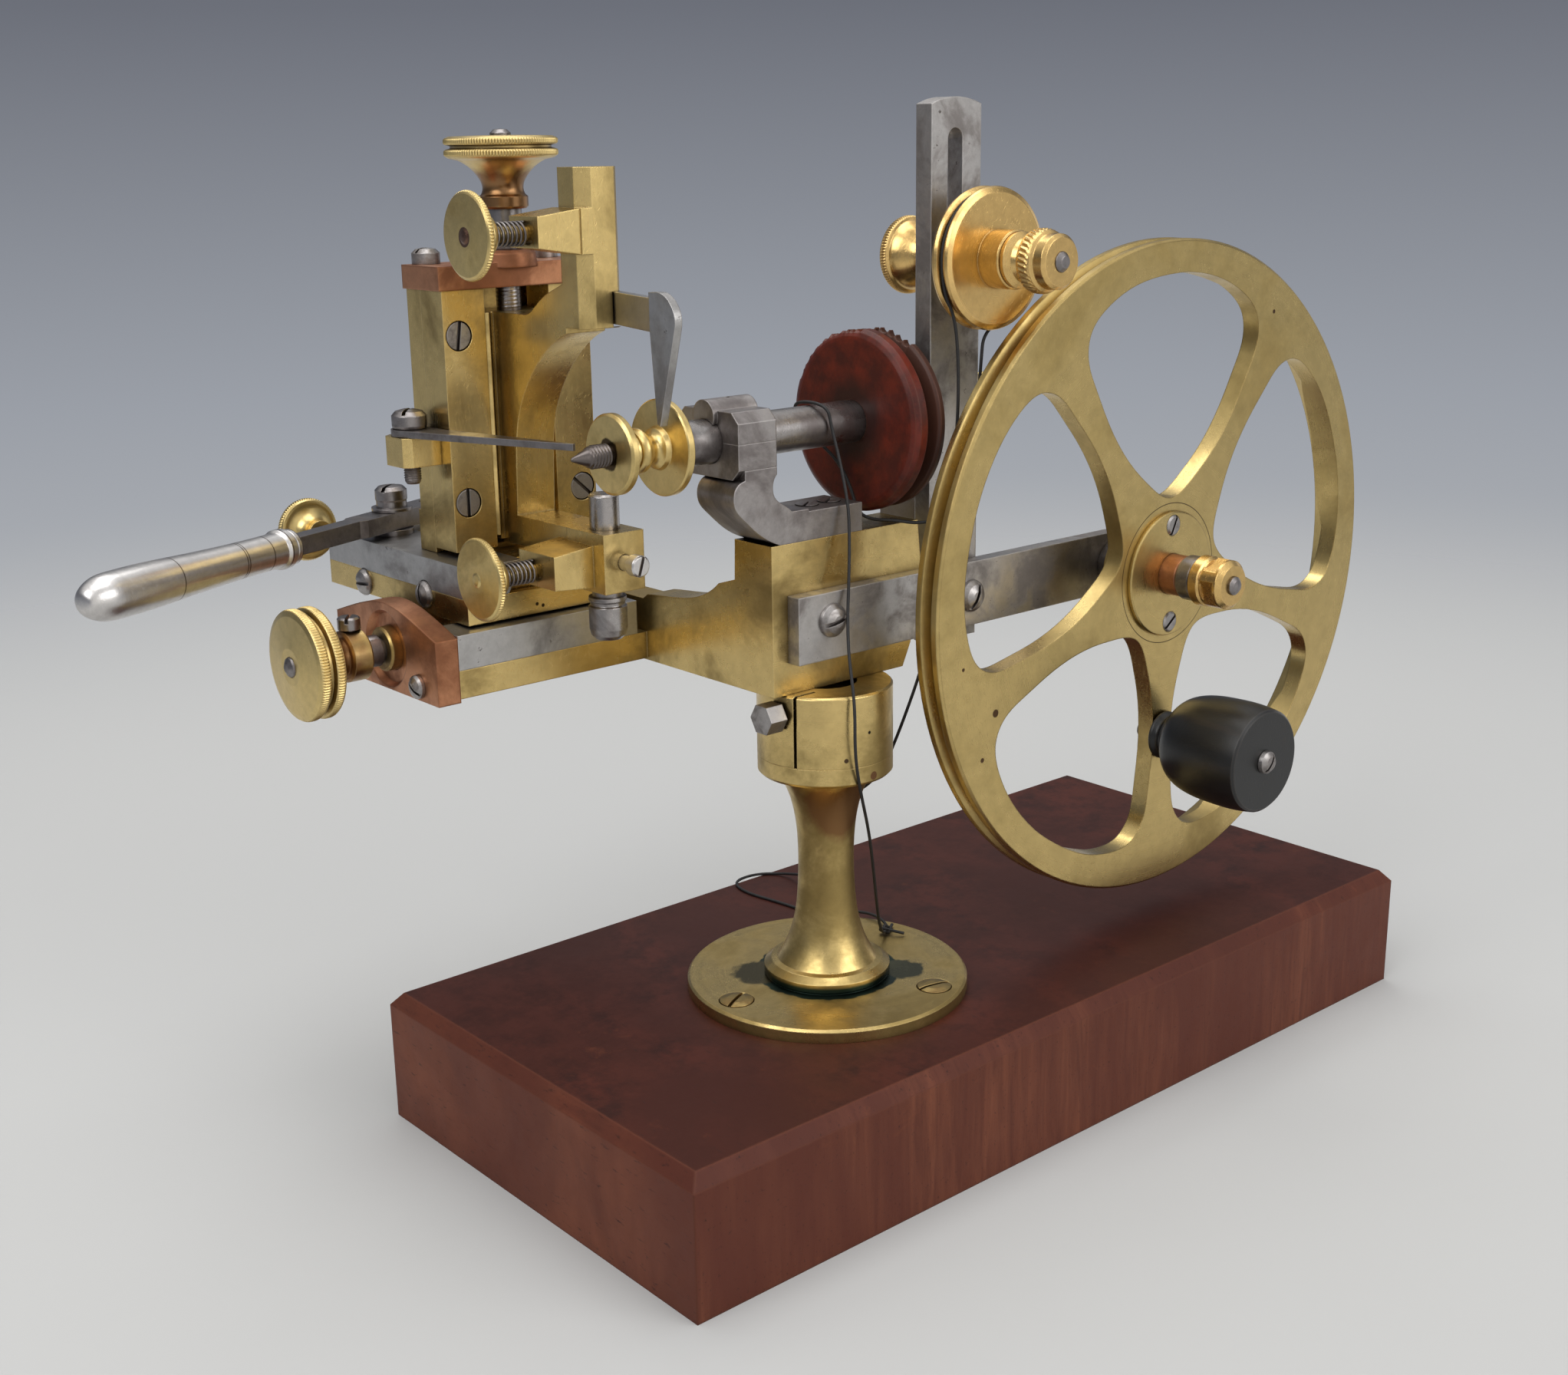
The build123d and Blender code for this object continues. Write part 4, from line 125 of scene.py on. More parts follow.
shown = put(tree, "ShaderNodeMixShader", {0: fade.outputs["Result"], 1: paper.outputs["BSDF"],
                                          2: clear.outputs["BSDF"]})
put(tree, "ShaderNodeOutputMaterial", {"Surface": shown.outputs["Shader"]})
floor_mesh.materials.append(floor_paper)


# Light: a backdrop that runs from pale paper below to blue grey behind, with a pale sky overhead,
# a large soft lamp high on the left, a lower one in front, and others behind and above.
aim = Vector((-0.02, 0.0, 0.13))


def mixed(tree, amount, first, second, blend="MIX"):
    node = put(tree, "ShaderNodeMix", {0: amount, 6: first, 7: second}, data_type="RGBA",
               blend_type=blend)
    return node.outputs[2]


def softbox(name, place, width, height, watts):
    lamp = bpy.data.lights.new(name, "AREA")
    lamp.shape = "RECTANGLE"
    lamp.size = width
    lamp.size_y = height
    lamp.energy = watts
    lamp_object = bpy.data.objects.new(name, lamp)
    lamp_object.location = place
    lamp_object.rotation_euler = (aim - Vector(place)).to_track_quat("-Z", "Y").to_euler()
    bpy.context.scene.collection.objects.link(lamp_object)


softbox("left_lamp", (-1.1, -0.2, 1.0), 0.9, 0.9, 9.0)
softbox("front_lamp", (0.4, -1.3, 0.8), 1.0, 0.8, 7.0)
softbox("back_lamp", (0.3, 0.7, 1.5), 0.8, 0.5, 4.0)
softbox("top_lamp", (0.0, 0.0, 1.5), 0.9, 0.9, 6.0)
sky = bpy.data.worlds.new("sky")
sky.use_nodes = True
tree = sky.node_tree
tree.nodes.clear()
heading = put(tree, "ShaderNodeTexCoord")
height = put(tree, "ShaderNodeSeparateXYZ", {"Vector": heading.outputs["Generated"]})
lowest = -0.7
climb = put(tree, "ShaderNodeMapRange", {"Value": height.outputs["Z"], "From Min": lowest,
                                         "From Max": 1.0})
sky_tones = ((-0.58, (0.631, 0.624, 0.597)), (-0.42, (0.610, 0.617, 0.624)),
             (-0.273, (0.47, 0.483, 0.50)), (-0.12, (0.325, 0.345, 0.385)),
             (0.065, (0.150, 0.160, 0.190)), (0.28, (0.11, 0.116, 0.135)),
             (0.5, (0.30, 0.31, 0.33)), (0.7, (0.80, 0.80, 0.80)), (1.0, (0.9, 0.9, 0.9)))
ramp = put(tree, "ShaderNodeValToRGB", {"Fac": climb.outputs["Result"]})
while len(ramp.color_ramp.elements) < len(sky_tones):
    ramp.color_ramp.elements.new(0.5)
for element, (at, tone) in zip(ramp.color_ramp.elements, sky_tones):
    element.position = (at - lowest) / (1.0 - lowest)
    element.color = (*tone, 1.0)
in_front = put(tree, "ShaderNodeMapRange", {"Value": height.outputs["Y"], "From Min": -0.5,
                                            "From Max": -0.88}).outputs["Result"]
to_right = put(tree, "ShaderNodeMapRange", {"Value": height.outputs["X"], "From Min": 0.92,
                                            "From Max": 0.99}).outputs["Result"]
sky_colour = mixed(tree, in_front, ramp.outputs["Color"], (0.95, 0.94, 0.92, 1))
sky_colour = mixed(tree, to_right, sky_colour, (0.90, 0.89, 0.87, 1))
glow = put(tree, "ShaderNodeBackground", {"Color": sky_colour, "Strength": 1.0})
put(tree, "ShaderNodeOutputWorld", {"Surface": glow.outputs["Background"]})
bpy.context.scene.world = sky


# Board: a slab of dark mahogany with planed bevels, waxed and a little bruised. The grain runs
# along it and shows end on at the left. Its top is painted darker than its sides, as painted shade.
def new_group(name, takes, gives):
    tree = bpy.data.node_groups.new(name, "ShaderNodeTree")
    for label, kind, value in takes:
        socket = tree.interface.new_socket(label, in_out="INPUT", socket_type=kind)
        socket.default_value = value
    for label, kind in gives:
        tree.interface.new_socket(label, in_out="OUTPUT", socket_type=kind)
    return tree, tree.nodes.new("NodeGroupInput").outputs, tree.nodes.new("NodeGroupOutput")


FLOAT = "NodeSocketFloat"
VECTOR = "NodeSocketVector"
COLOUR = "NodeSocketColor"

soft_edge, takes, gives = new_group("soft_edge", [("Radius", FLOAT, 0.0003)],
                                    [("Normal", VECTOR), ("Edge", FLOAT)])
rounded = put(soft_edge, "ShaderNodeBevel", {"Radius": takes["Radius"]}, samples=4)
facing = put(soft_edge, "ShaderNodeNewGeometry")
agree = put(soft_edge, "ShaderNodeVectorMath", {0: rounded.outputs["Normal"],
                                                1: facing.outputs["Normal"]},
            operation="DOT_PRODUCT")
edge = put(soft_edge, "ShaderNodeMapRange", {"Value": agree.outputs["Value"], "From Min": 1.0,
                                             "From Max": 0.9})
soft_edge.links.new(rounded.outputs["Normal"], gives.inputs["Normal"])
soft_edge.links.new(edge.outputs["Result"], gives.inputs["Edge"])


# Painted shade: ambient occlusion gives a mask that darkens corners and hollows, standing for shade
# and brown patina together.
corner_shade, takes, gives = new_group("corner_shade", [("Reach", FLOAT, 0.003)], [("Shade_And_Patina", FLOAT)])
open_sky = put(corner_shade, "ShaderNodeAmbientOcclusion", {"Distance": takes["Reach"]}, samples=4)
hidden = put(corner_shade, "ShaderNodeMapRange", {"Value": open_sky.outputs["AO"], "From Min": 0.72,
                                             "From Max": 0.25, "To Max": 0.85})
corner_shade.links.new(hidden.outputs["Result"], gives.inputs["Shade_And_Patina"])


def use(tree, group, sockets=None):
    node = put(tree, "ShaderNodeGroup", node_tree=group)
    for key, value in (sockets or {}).items():
        if isinstance(value, bpy.types.NodeSocket):
            tree.links.new(value, node.inputs[key])
        else:
            node.inputs[key].default_value = value
    return node


def dress(material, *names):
    for name in names:
        mesh = nodes[name].data
        mesh.materials.clear()
        mesh.materials.append(material)


def scaled(tree, vector, by):
    node = put(tree, "ShaderNodeVectorMath", {0: vector, 1: by}, operation="MULTIPLY")
    return node.outputs["Vector"]


mahogany, tree = fresh_material("mahogany")
place = put(tree, "ShaderNodeTexCoord").outputs["Object"]
faces_way = put(tree, "ShaderNodeNewGeometry").outputs["Normal"]
way = put(tree, "ShaderNodeSeparateXYZ", {"Vector": faces_way})
lies_up = put(tree, "ShaderNodeMapRange", {"Value": way.outputs["Z"], "From Min": 0.5,
                                           "From Max": 0.8}).outputs["Result"]
streaks = put(tree, "ShaderNodeTexNoise", {"Vector": scaled(tree, place, (330.0, 34.0, 30.0)),
                                           "Scale": 1.0, "Detail": 6.0, "Roughness": 0.62,
                                           "Distortion": 0.5})
bands = put(tree, "ShaderNodeTexNoise", {"Vector": scaled(tree, place, (42.0, 20.0, 9.0)),
                                         "Scale": 1.0, "Detail": 4.0, "Distortion": 0.6})
mottle = put(tree, "ShaderNodeTexNoise", {"Vector": place, "Scale": 95.0, "Detail": 8.0,
                                          "Roughness": 0.72})
pores = put(tree, "ShaderNodeTexNoise", {"Vector": scaled(tree, place, (900.0, 240.0, 900.0)),
                                         "Scale": 1.0, "Detail": 3.0, "Roughness": 0.7})
bruises = put(tree, "ShaderNodeTexNoise", {"Vector": place, "Scale": 52.0, "Detail": 7.0,
                                           "Roughness": 0.75, "Distortion": 0.3})
streak = put(tree, "ShaderNodeMapRange", {"Value": streaks.outputs["Fac"], "From Min": 0.36,
                                          "From Max": 0.66})
band = put(tree, "ShaderNodeMapRange", {"Value": bands.outputs["Fac"], "From Min": 0.36,
                                        "From Max": 0.62})
dark = put(tree, "ShaderNodeMapRange", {"Value": mottle.outputs["Fac"], "From Min": 0.44,
                                        "From Max": 0.62})
pore = put(tree, "ShaderNodeMapRange", {"Value": pores.outputs["Fac"], "From Min": 0.60,
                                        "From Max": 0.76})
bruise = put(tree, "ShaderNodeMapRange", {"Value": bruises.outputs["Fac"], "From Min": 0.62,
                                          "From Max": 0.76, "To Max": 0.55})
side = mixed(tree, streak.outputs["Result"], (0.092, 0.024, 0.012, 1), (0.160, 0.048, 0.023, 1))
side = mixed(tree, band.outputs["Result"], side, (0.088, 0.021, 0.011, 1))
top = mixed(tree, dark.outputs["Result"], (0.062, 0.013, 0.007, 1), (0.026, 0.006, 0.004, 1))
top = mixed(tree, band.outputs["Result"], top, (0.042, 0.009, 0.005, 1))
# Painted shade: faces that look up take the darker top colours, and the sides take lighter, lit
# copies of the wood.
wood = mixed(tree, lies_up, side, top)
wood = mixed(tree, pore.outputs["Result"], wood, (0.028, 0.008, 0.005, 1))
wood = mixed(tree, bruise.outputs["Result"], wood, (0.165, 0.045, 0.018, 1))
rim = use(tree, soft_edge, {"Radius": 0.9 * mm})
wood = mixed(tree, rim.outputs["Edge"], wood, (0.105, 0.030, 0.015, 1))
shine = put(tree, "ShaderNodeMapRange", {"Value": mottle.outputs["Fac"], "To Min": 0.40,
                                         "To Max": 0.66})
bump = put(tree, "ShaderNodeBump", {"Height": streaks.outputs["Fac"], "Distance": 0.10 * mm,
                                    "Strength": 0.5, "Normal": rim.outputs["Normal"]})
bump = put(tree, "ShaderNodeBump", {"Height": pores.outputs["Fac"], "Distance": 0.06 * mm,
                                    "Strength": 0.4, "Normal": bump.outputs["Normal"]})
timber = put(tree, "ShaderNodeBsdfPrincipled", {"Base Color": wood,
                                                "Roughness": shine.outputs["Result"],
                                                "Normal": bump.outputs["Normal"],
                                                "Specular IOR Level": 0.22})
put(tree, "ShaderNodeOutputMaterial", {"Surface": timber.outputs["BSDF"]})
dress(mahogany, "base_board")


# Pillar, its flange and the swivel drum: turned brass, yellow where it is handled and dull
# brown elsewhere, with fine turning lines. Verdigris sits in the corner at the foot.
tarnish, takes, gives = new_group(
    "tarnish",
    [("Vector", VECTOR, (0, 0, 0)), ("Clean", COLOUR, (1, 1, 1, 1)), ("Dull", COLOUR, (1, 1, 1, 1)),
     ("Stain", COLOUR, (0, 0, 0, 1)), ("Cloud Scale", FLOAT, 50.0), ("Dull Share", FLOAT, 0.5),
     ("Stain Share", FLOAT, 0.2)],
    [("Color", COLOUR), ("Dullness", FLOAT)])
clouds = put(tarnish, "ShaderNodeTexNoise", {"Vector": takes["Vector"],
                                             "Scale": takes["Cloud Scale"], "Detail": 7.0,
                                             "Roughness": 0.62, "Distortion": 0.4})
low = put(tarnish, "ShaderNodeMath", {0: takes["Dull Share"], 1: -0.45, 2: 0.68},
          operation="MULTIPLY_ADD")
high = put(tarnish, "ShaderNodeMath", {0: low.outputs["Value"], 1: 0.22}, operation="ADD")
dull = put(tarnish, "ShaderNodeMapRange", {"Value": clouds.outputs["Fac"],
                                           "From Min": low.outputs["Value"],
                                           "From Max": high.outputs["Value"]},
           interpolation_type="SMOOTHSTEP")
speck_scale = put(tarnish, "ShaderNodeMath", {0: takes["Cloud Scale"], 1: 7.0},
                  operation="MULTIPLY")
specks = put(tarnish, "ShaderNodeTexNoise", {"Vector": takes["Vector"],
                                             "Scale": speck_scale.outputs["Value"],
                                             "Detail": 4.0, "Roughness": 0.75})
speck_low = put(tarnish, "ShaderNodeMath", {0: takes["Stain Share"], 1: -0.4, 2: 0.84},
                operation="MULTIPLY_ADD")
speck_high = put(tarnish, "ShaderNodeMath", {0: speck_low.outputs["Value"], 1: 0.09},
                 operation="ADD")
speck = put(tarnish, "ShaderNodeMapRange", {"Value": specks.outputs["Fac"],
                                            "From Min": speck_low.outputs["Value"],
                                            "From Max": speck_high.outputs["Value"]})
shade = put(tarnish, "ShaderNodeMapRange", {"Value": specks.outputs["Fac"], "From Min": 0.3,
                                            "From Max": 0.7, "To Min": 0.88, "To Max": 1.08})
tone = mixed(tarnish, dull.outputs["Result"], takes["Clean"], takes["Dull"])
tone = mixed(tarnish, 1.0, tone, shade.outputs["Result"], "MULTIPLY")
tone = mixed(tarnish, speck.outputs["Result"], tone, takes["Stain"])
dullness = put(tarnish, "ShaderNodeMath", {0: dull.outputs["Result"],
                                           1: speck.outputs["Result"]}, operation="MAXIMUM")
tarnish.links.new(tone, gives.inputs["Color"])
tarnish.links.new(dullness.outputs["Value"], gives.inputs["Dullness"])

file_marks, takes, gives = new_group("file_marks", [("Vector", VECTOR, (0, 0, 0)),
                                                    ("Stretch", VECTOR, (900, 900, 40))],
                                     [("Height", FLOAT)])
marks = put(file_marks, "ShaderNodeTexNoise", {"Vector": scaled(file_marks, takes["Vector"],
                                                                takes["Stretch"]),
                                               "Scale": 1.0, "Detail": 3.0, "Roughness": 0.6})
file_marks.links.new(marks.outputs["Fac"], gives.inputs["Height"])

lathe_marks, takes, gives = new_group("lathe_marks", [("Vector", VECTOR, (0, 0, 0)),
                                                      ("Centre", VECTOR, (0, 0, 0)),
                                                      ("Along", VECTOR, (0, 0, 1)),
                                                      ("Pitch Scale", FLOAT, 1500.0)],
                                      [("Height", FLOAT)])
offset = put(lathe_marks, "ShaderNodeVectorMath", {0: takes["Vector"], 1: takes["Centre"]},
             operation="SUBTRACT").outputs["Vector"]
along = put(lathe_marks, "ShaderNodeVectorMath", {0: offset, 1: takes["Along"]},
            operation="DOT_PRODUCT").outputs["Value"]
spoke = put(lathe_marks, "ShaderNodeVectorMath", {0: offset, 1: takes["Along"]},
            operation="CROSS_PRODUCT").outputs["Vector"]
radius = put(lathe_marks, "ShaderNodeVectorMath", {0: spoke}, operation="LENGTH").outputs["Value"]
pair = put(lathe_marks, "ShaderNodeCombineXYZ", {"X": along, "Y": radius}).outputs["Vector"]
rings = put(lathe_marks, "ShaderNodeTexNoise", {"Vector": pair, "Scale": takes["Pitch Scale"],
                                                "Detail": 3.0, "Roughness": 0.65})
lathe_marks.links.new(rings.outputs["Fac"], gives.inputs["Height"])

scratches, takes, gives = new_group("scratches", [("Vector", VECTOR, (0, 0, 0)),
                                                  ("Scale", FLOAT, 60.0)], [("Height", FLOAT)])
line_sets = []
for turn in ((0.3, 0.9, 0.5), (1.2, -0.4, 1.9)):
    swung = put(scratches, "ShaderNodeVectorRotate", {"Vector": takes["Vector"],
                                                      "Rotation": turn},
                rotation_type="EULER_XYZ").outputs["Vector"]
    thin = scaled(scratches, swung, (1.0, 26.0, 26.0))
    lines = put(scratches, "ShaderNodeTexNoise", {"Vector": thin, "Scale": takes["Scale"],
                                                  "Detail": 2.0, "Roughness": 0.5})
    cut = put(scratches, "ShaderNodeMapRange", {"Value": lines.outputs["Fac"], "From Min": 0.64,
                                                "From Max": 0.70})
    line_sets.append(cut.outputs["Result"])
either = put(scratches, "ShaderNodeMath", {0: line_sets[0], 1: line_sets[1]},
             operation="MAXIMUM")
scratches.links.new(either.outputs["Value"], gives.inputs["Height"])


# A mask that is 1 where a distance is under its limit, with a ragged edge where wander is set.
def within(tree, place, distance, limit, soft=0.15 * mm, wander=0.0, grain=260.0):
    if wander:
        noise = put(tree, "ShaderNodeTexNoise", {"Vector": place, "Scale": grain,
                                                 "Detail": 4.0}).outputs["Fac"]
        distance = put(tree, "ShaderNodeMath", {0: noise, 1: -2 * wander, 2: distance},
                       operation="MULTIPLY_ADD").outputs["Value"]
        limit = limit - wander
    return put(tree, "ShaderNodeMapRange", {"Value": distance, "From Min": limit + soft,
                                            "From Max": limit}).outputs["Result"]


def spot(tree, place, centre, size, **edge):
    away = put(tree, "ShaderNodeVectorMath", {0: place, 1: [c * mm for c in centre]},
               operation="DISTANCE").outputs["Value"]
    return within(tree, place, away, size * mm, **edge)


def hoop(tree, place, centre, along, size, half_width, **edge):
    offset = put(tree, "ShaderNodeVectorMath", {0: place, 1: centre},
                 operation="SUBTRACT").outputs["Vector"]
    spoke = put(tree, "ShaderNodeVectorMath", {0: offset, 1: along},
                operation="CROSS_PRODUCT").outputs["Vector"]
    length = put(tree, "ShaderNodeVectorMath", {0: spoke}, operation="LENGTH").outputs["Value"]
    gap = put(tree, "ShaderNodeMath", {0: length, 1: size * mm}, operation="SUBTRACT")
    gap = put(tree, "ShaderNodeMath", {0: gap.outputs["Value"]}, operation="ABSOLUTE")
    return within(tree, place, gap.outputs["Value"], half_width * mm, **edge)


def slice_at(tree, place, centre, along, at, half_width, **edge):
    offset = put(tree, "ShaderNodeVectorMath", {0: place, 1: centre},
                 operation="SUBTRACT").outputs["Vector"]
    run = put(tree, "ShaderNodeVectorMath", {0: offset, 1: along},
              operation="DOT_PRODUCT").outputs["Value"]
    gap = put(tree, "ShaderNodeMath", {0: run, 1: at * mm}, operation="SUBTRACT")
    gap = put(tree, "ShaderNodeMath", {0: gap.outputs["Value"]}, operation="ABSOLUTE")
    return within(tree, place, gap.outputs["Value"], half_width * mm, **edge)


def both(tree, first, second):
    return put(tree, "ShaderNodeMath", {0: first, 1: second},
               operation="MULTIPLY").outputs["Value"]


def metal(name, clean, dull, stain, cloud=55.0, dull_share=0.5, stain_share=0.2,
          rough=(0.25, 0.5), stretch=None, turning=None, pitch=1500.0, marks_depth=0.012,
          edge=0.3, edge_share=0.35, edge_tone=None, scratch=0.5, marks=None):
    material, tree = fresh_material(name)
    place = put(tree, "ShaderNodeTexCoord").outputs["Object"]
    film = use(tree, tarnish, {"Vector": place, "Clean": (*clean, 1), "Dull": (*dull, 1),
                               "Stain": (*stain, 1), "Cloud Scale": cloud,
                               "Dull Share": dull_share, "Stain Share": stain_share})
    colour = film.outputs["Color"]
    rim = use(tree, soft_edge, {"Radius": edge * mm})
    # Edges mix toward edge_tone. By default this is a brighter copy of the clean colour, standing
    # for rubbed wear and painted highlight together; the flywheel's dark brown edges stand for
    # dirt.
    worn_and_lit_edge = put(tree, "ShaderNodeMath", {0: rim.outputs["Edge"], 1: edge_share},
                 operation="MULTIPLY").outputs["Value"]
    bright = edge_tone or tuple(min(1.0, c * 1.25 + 0.05) for c in clean)
    colour = mixed(tree, worn_and_lit_edge, colour, (*bright, 1))
    # Painted shade with brown patina: corners and hollows are mixed toward the stain colour.
    corner = use(tree, corner_shade, {"Reach": 2.4 * mm}).outputs["Shade_And_Patina"]
    colour = mixed(tree, corner, colour, (*stain, 1))
    for mask, tone in marks(tree, place) if marks else ():
        colour = mixed(tree, mask, colour, (*tone, 1))
    cuts = use(tree, scratches, {"Vector": place, "Scale": 90.0}).outputs["Height"]
    normal = rim.outputs["Normal"]
    if turning:
        centre, along = turning
        lines = use(tree, lathe_marks, {"Vector": place, "Centre": centre, "Along": along,
                                        "Pitch Scale": pitch}).outputs["Height"]
    else:
        lines = use(tree, file_marks, {"Vector": place,
                                       "Stretch": stretch or (300, 300, 300)}).outputs["Height"]
    normal = put(tree, "ShaderNodeBump", {"Height": lines, "Distance": marks_depth * mm,
                                          "Strength": 0.6, "Normal": normal}).outputs["Normal"]
    normal = put(tree, "ShaderNodeBump", {"Height": cuts, "Distance": 0.02 * mm,
                                          "Strength": scratch, "Normal": normal},
                 invert=True).outputs["Normal"]
    satin = put(tree, "ShaderNodeMapRange", {"Value": film.outputs["Dullness"],
                                             "To Min": rough[0], "To Max": rough[1]})
    ragged = put(tree, "ShaderNodeMath", {0: lines, 1: 0.12, 2: satin.outputs["Result"]},
                 operation="MULTIPLY_ADD").outputs["Value"]
    surface = put(tree, "ShaderNodeBsdfPrincipled", {"Base Color": colour, "Metallic": 1.0,
                                                     "Roughness": ragged, "Normal": normal})
    put(tree, "ShaderNodeOutputMaterial", {"Surface": surface.outputs["BSDF"]})
    return material


def middle(name):
    low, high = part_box(name)
    return (low + high) / 2


X, Y, Z = (1, 0, 0), (0, 1, 0), (0, 0, 1)
brass_clean = (0.64, 0.475, 0.195)
brass_dull = (0.33, 0.24, 0.09)
brass_stain = (0.11, 0.068, 0.032)
pillar_axis = middle("pillar")
verdigris = (0.030, 0.050, 0.040)


def pillar_marks(tree, place):
    low = slice_at(tree, place, (0, 0, 38 * mm), Z, 0.0, 1.3, soft=1.2 * mm)
    foot = hoop(tree, place, pillar_axis, Z, 16.6, 1.5, soft=0.5 * mm, wander=1.3 * mm)
    column = slice_at(tree, place, (0, 0, 68 * mm), Z, 0.0, 26.0, soft=5 * mm)
    brown = spot(tree, place, (-46, -16, 84), 7.0, soft=3 * mm, wander=5 * mm, grain=130.0)
    return [(both(tree, low, foot), verdigris),
            (both(tree, low, spot(tree, place, (-29, -21, 38), 5.0, soft=1 * mm,
                                  wander=2.6 * mm)), (0.10, 0.10, 0.06)),
            (both(tree, low, spot(tree, place, (-57, 2, 38), 6.0, soft=1.5 * mm,
                                  wander=3 * mm)), (0.12, 0.10, 0.05)),
            (both(tree, column, brown), (0.24, 0.13, 0.055)),
            (spot(tree, place, (-42.6, -24.7, 94.0), 1.0), (0.17, 0.085, 0.04)),
            (spot(tree, place, (-44.0, -24.9, 105.2), 0.35), (0.02, 0.016, 0.012)),
            (spot(tree, place, (-50.2, -23.4, 99.0), 0.5), (0.08, 0.05, 0.03))]


pillar_brass = metal("pillar_brass", brass_clean, brass_dull, brass_stain, cloud=40.0,
                     dull_share=0.62, stain_share=0.28, rough=(0.20, 0.40),
                     turning=((pillar_axis.x, pillar_axis.y, 0), Z), pitch=900.0,
                     marks=pillar_marks)
dress(pillar_brass, "pillar", "swivel_drum")


# Steel screws: blued once, now grey brown, with slots darkened by painted shade. Those of the
# flange are brass.
screw_steel = metal("screw_steel", (0.36, 0.34, 0.33), (0.20, 0.18, 0.17), (0.06, 0.045, 0.04),
                    cloud=160.0, dull_share=0.55, stain_share=0.35, rough=(0.28, 0.5),
                    stretch=(500, 500, 500), edge=0.25)
flange_brass = metal("flange_brass", (0.42, 0.30, 0.11), (0.24, 0.15, 0.06), brass_stain,
                     cloud=120.0, dull_share=0.6, stain_share=0.35, stretch=(400, 400, 400))
dress(screw_steel, "drum_clamp_screw", "end_plate_screws", "saddle_screws", "way_screws",
      "top_plate_screws", "head_screws", "flywheel_screws")
dress(flange_brass, "flange_screws")


# Main casting and the other flat brass of the slide rest: cast, filed and dull, with painted shade
# and brown patina in the corners, and bright rubbed edges that are partly painted highlight.
dot_brown = (0.035, 0.024, 0.015)


def saddle_marks(tree, place):
    return [(spot(tree, place, (-93.0, 41.7, 133.7), 0.38), dot_brown),
            (spot(tree, place, (-91.3, 41.7, 133.1), 0.38), dot_brown)]


cast_brass = metal("cast_brass", (0.66, 0.49, 0.20), (0.31, 0.222, 0.085), brass_stain,
                   cloud=36.0, dull_share=0.52, stain_share=0.36, rough=(0.20, 0.38),
                   stretch=(420, 420, 26), marks_depth=0.016, edge=0.35)
flat_brass = metal("flat_brass", (0.66, 0.49, 0.20), (0.31, 0.222, 0.085), brass_stain,
                   cloud=36.0, dull_share=0.50, stain_share=0.36, rough=(0.20, 0.38),
                   stretch=(26, 420, 420), marks_depth=0.016, edge=0.35, marks=saddle_marks)
dress(cast_brass, "column_body", "column_way_strips", "column_gib", "slide_frame", "finger_lug")
dress(flat_brass, "main_casting", "saddle_base")
dress(flange_brass, "leadscrew_bush")


# Copper plates: the end of the bed and the top of the column, filed and brown at the edges, and
# the bush of the flywheel.
copper = metal("copper", (0.54, 0.255, 0.135), (0.27, 0.115, 0.06), (0.07, 0.032, 0.02),
               cloud=50.0, dull_share=0.6, stain_share=0.32, rough=(0.27, 0.45),
               stretch=(60, 60, 420), edge=0.6, edge_tone=(0.30, 0.13, 0.07), edge_share=0.5)
dress(copper, "bed_end_plate", "column_top_plate", "hub_bush")


# Steel ways and bars: ground flat, grey, with brown patches and pits of old rust.
way_steel = metal("way_steel", (0.44, 0.43, 0.42), (0.25, 0.24, 0.235), (0.06, 0.048, 0.044),
                  cloud=45.0, dull_share=0.45, stain_share=0.5, rough=(0.26, 0.46),
                  stretch=(30, 30, 620), edge=0.3)
bar_steel = metal("bar_steel", (0.46, 0.44, 0.425), (0.235, 0.215, 0.205),
                  (0.062, 0.048, 0.042), cloud=75.0, dull_share=0.6, stain_share=0.5,
                  rough=(0.30, 0.52), stretch=(420, 420, 30), marks_depth=0.02, edge=0.45,
                  edge_share=0.7)
head_steel = metal("head_steel", (0.37, 0.345, 0.335), (0.185, 0.165, 0.16),
                   (0.055, 0.042, 0.038), cloud=55.0, dull_share=0.55, stain_share=0.36,
                   rough=(0.27, 0.45), stretch=(520, 520, 30), edge=0.4, edge_share=0.75)
dress(way_steel, "bed_ways", "saddle_ways", "hook_pointer")
dress(bar_steel, "horizontal_bar", "vertical_bar")
dress(head_steel, "headstock", "headstock_cap", "rear_bearing")


# Turned steel: spindle, leadscrews, pins and studs, polished by use and oily.
spindle_axis = middle("spindle")


def nose_marks(tree, place):
    return [(slice_at(tree, place, (0, 0, 0), X, -107.0, 6.6), (0.13, 0.112, 0.105))]


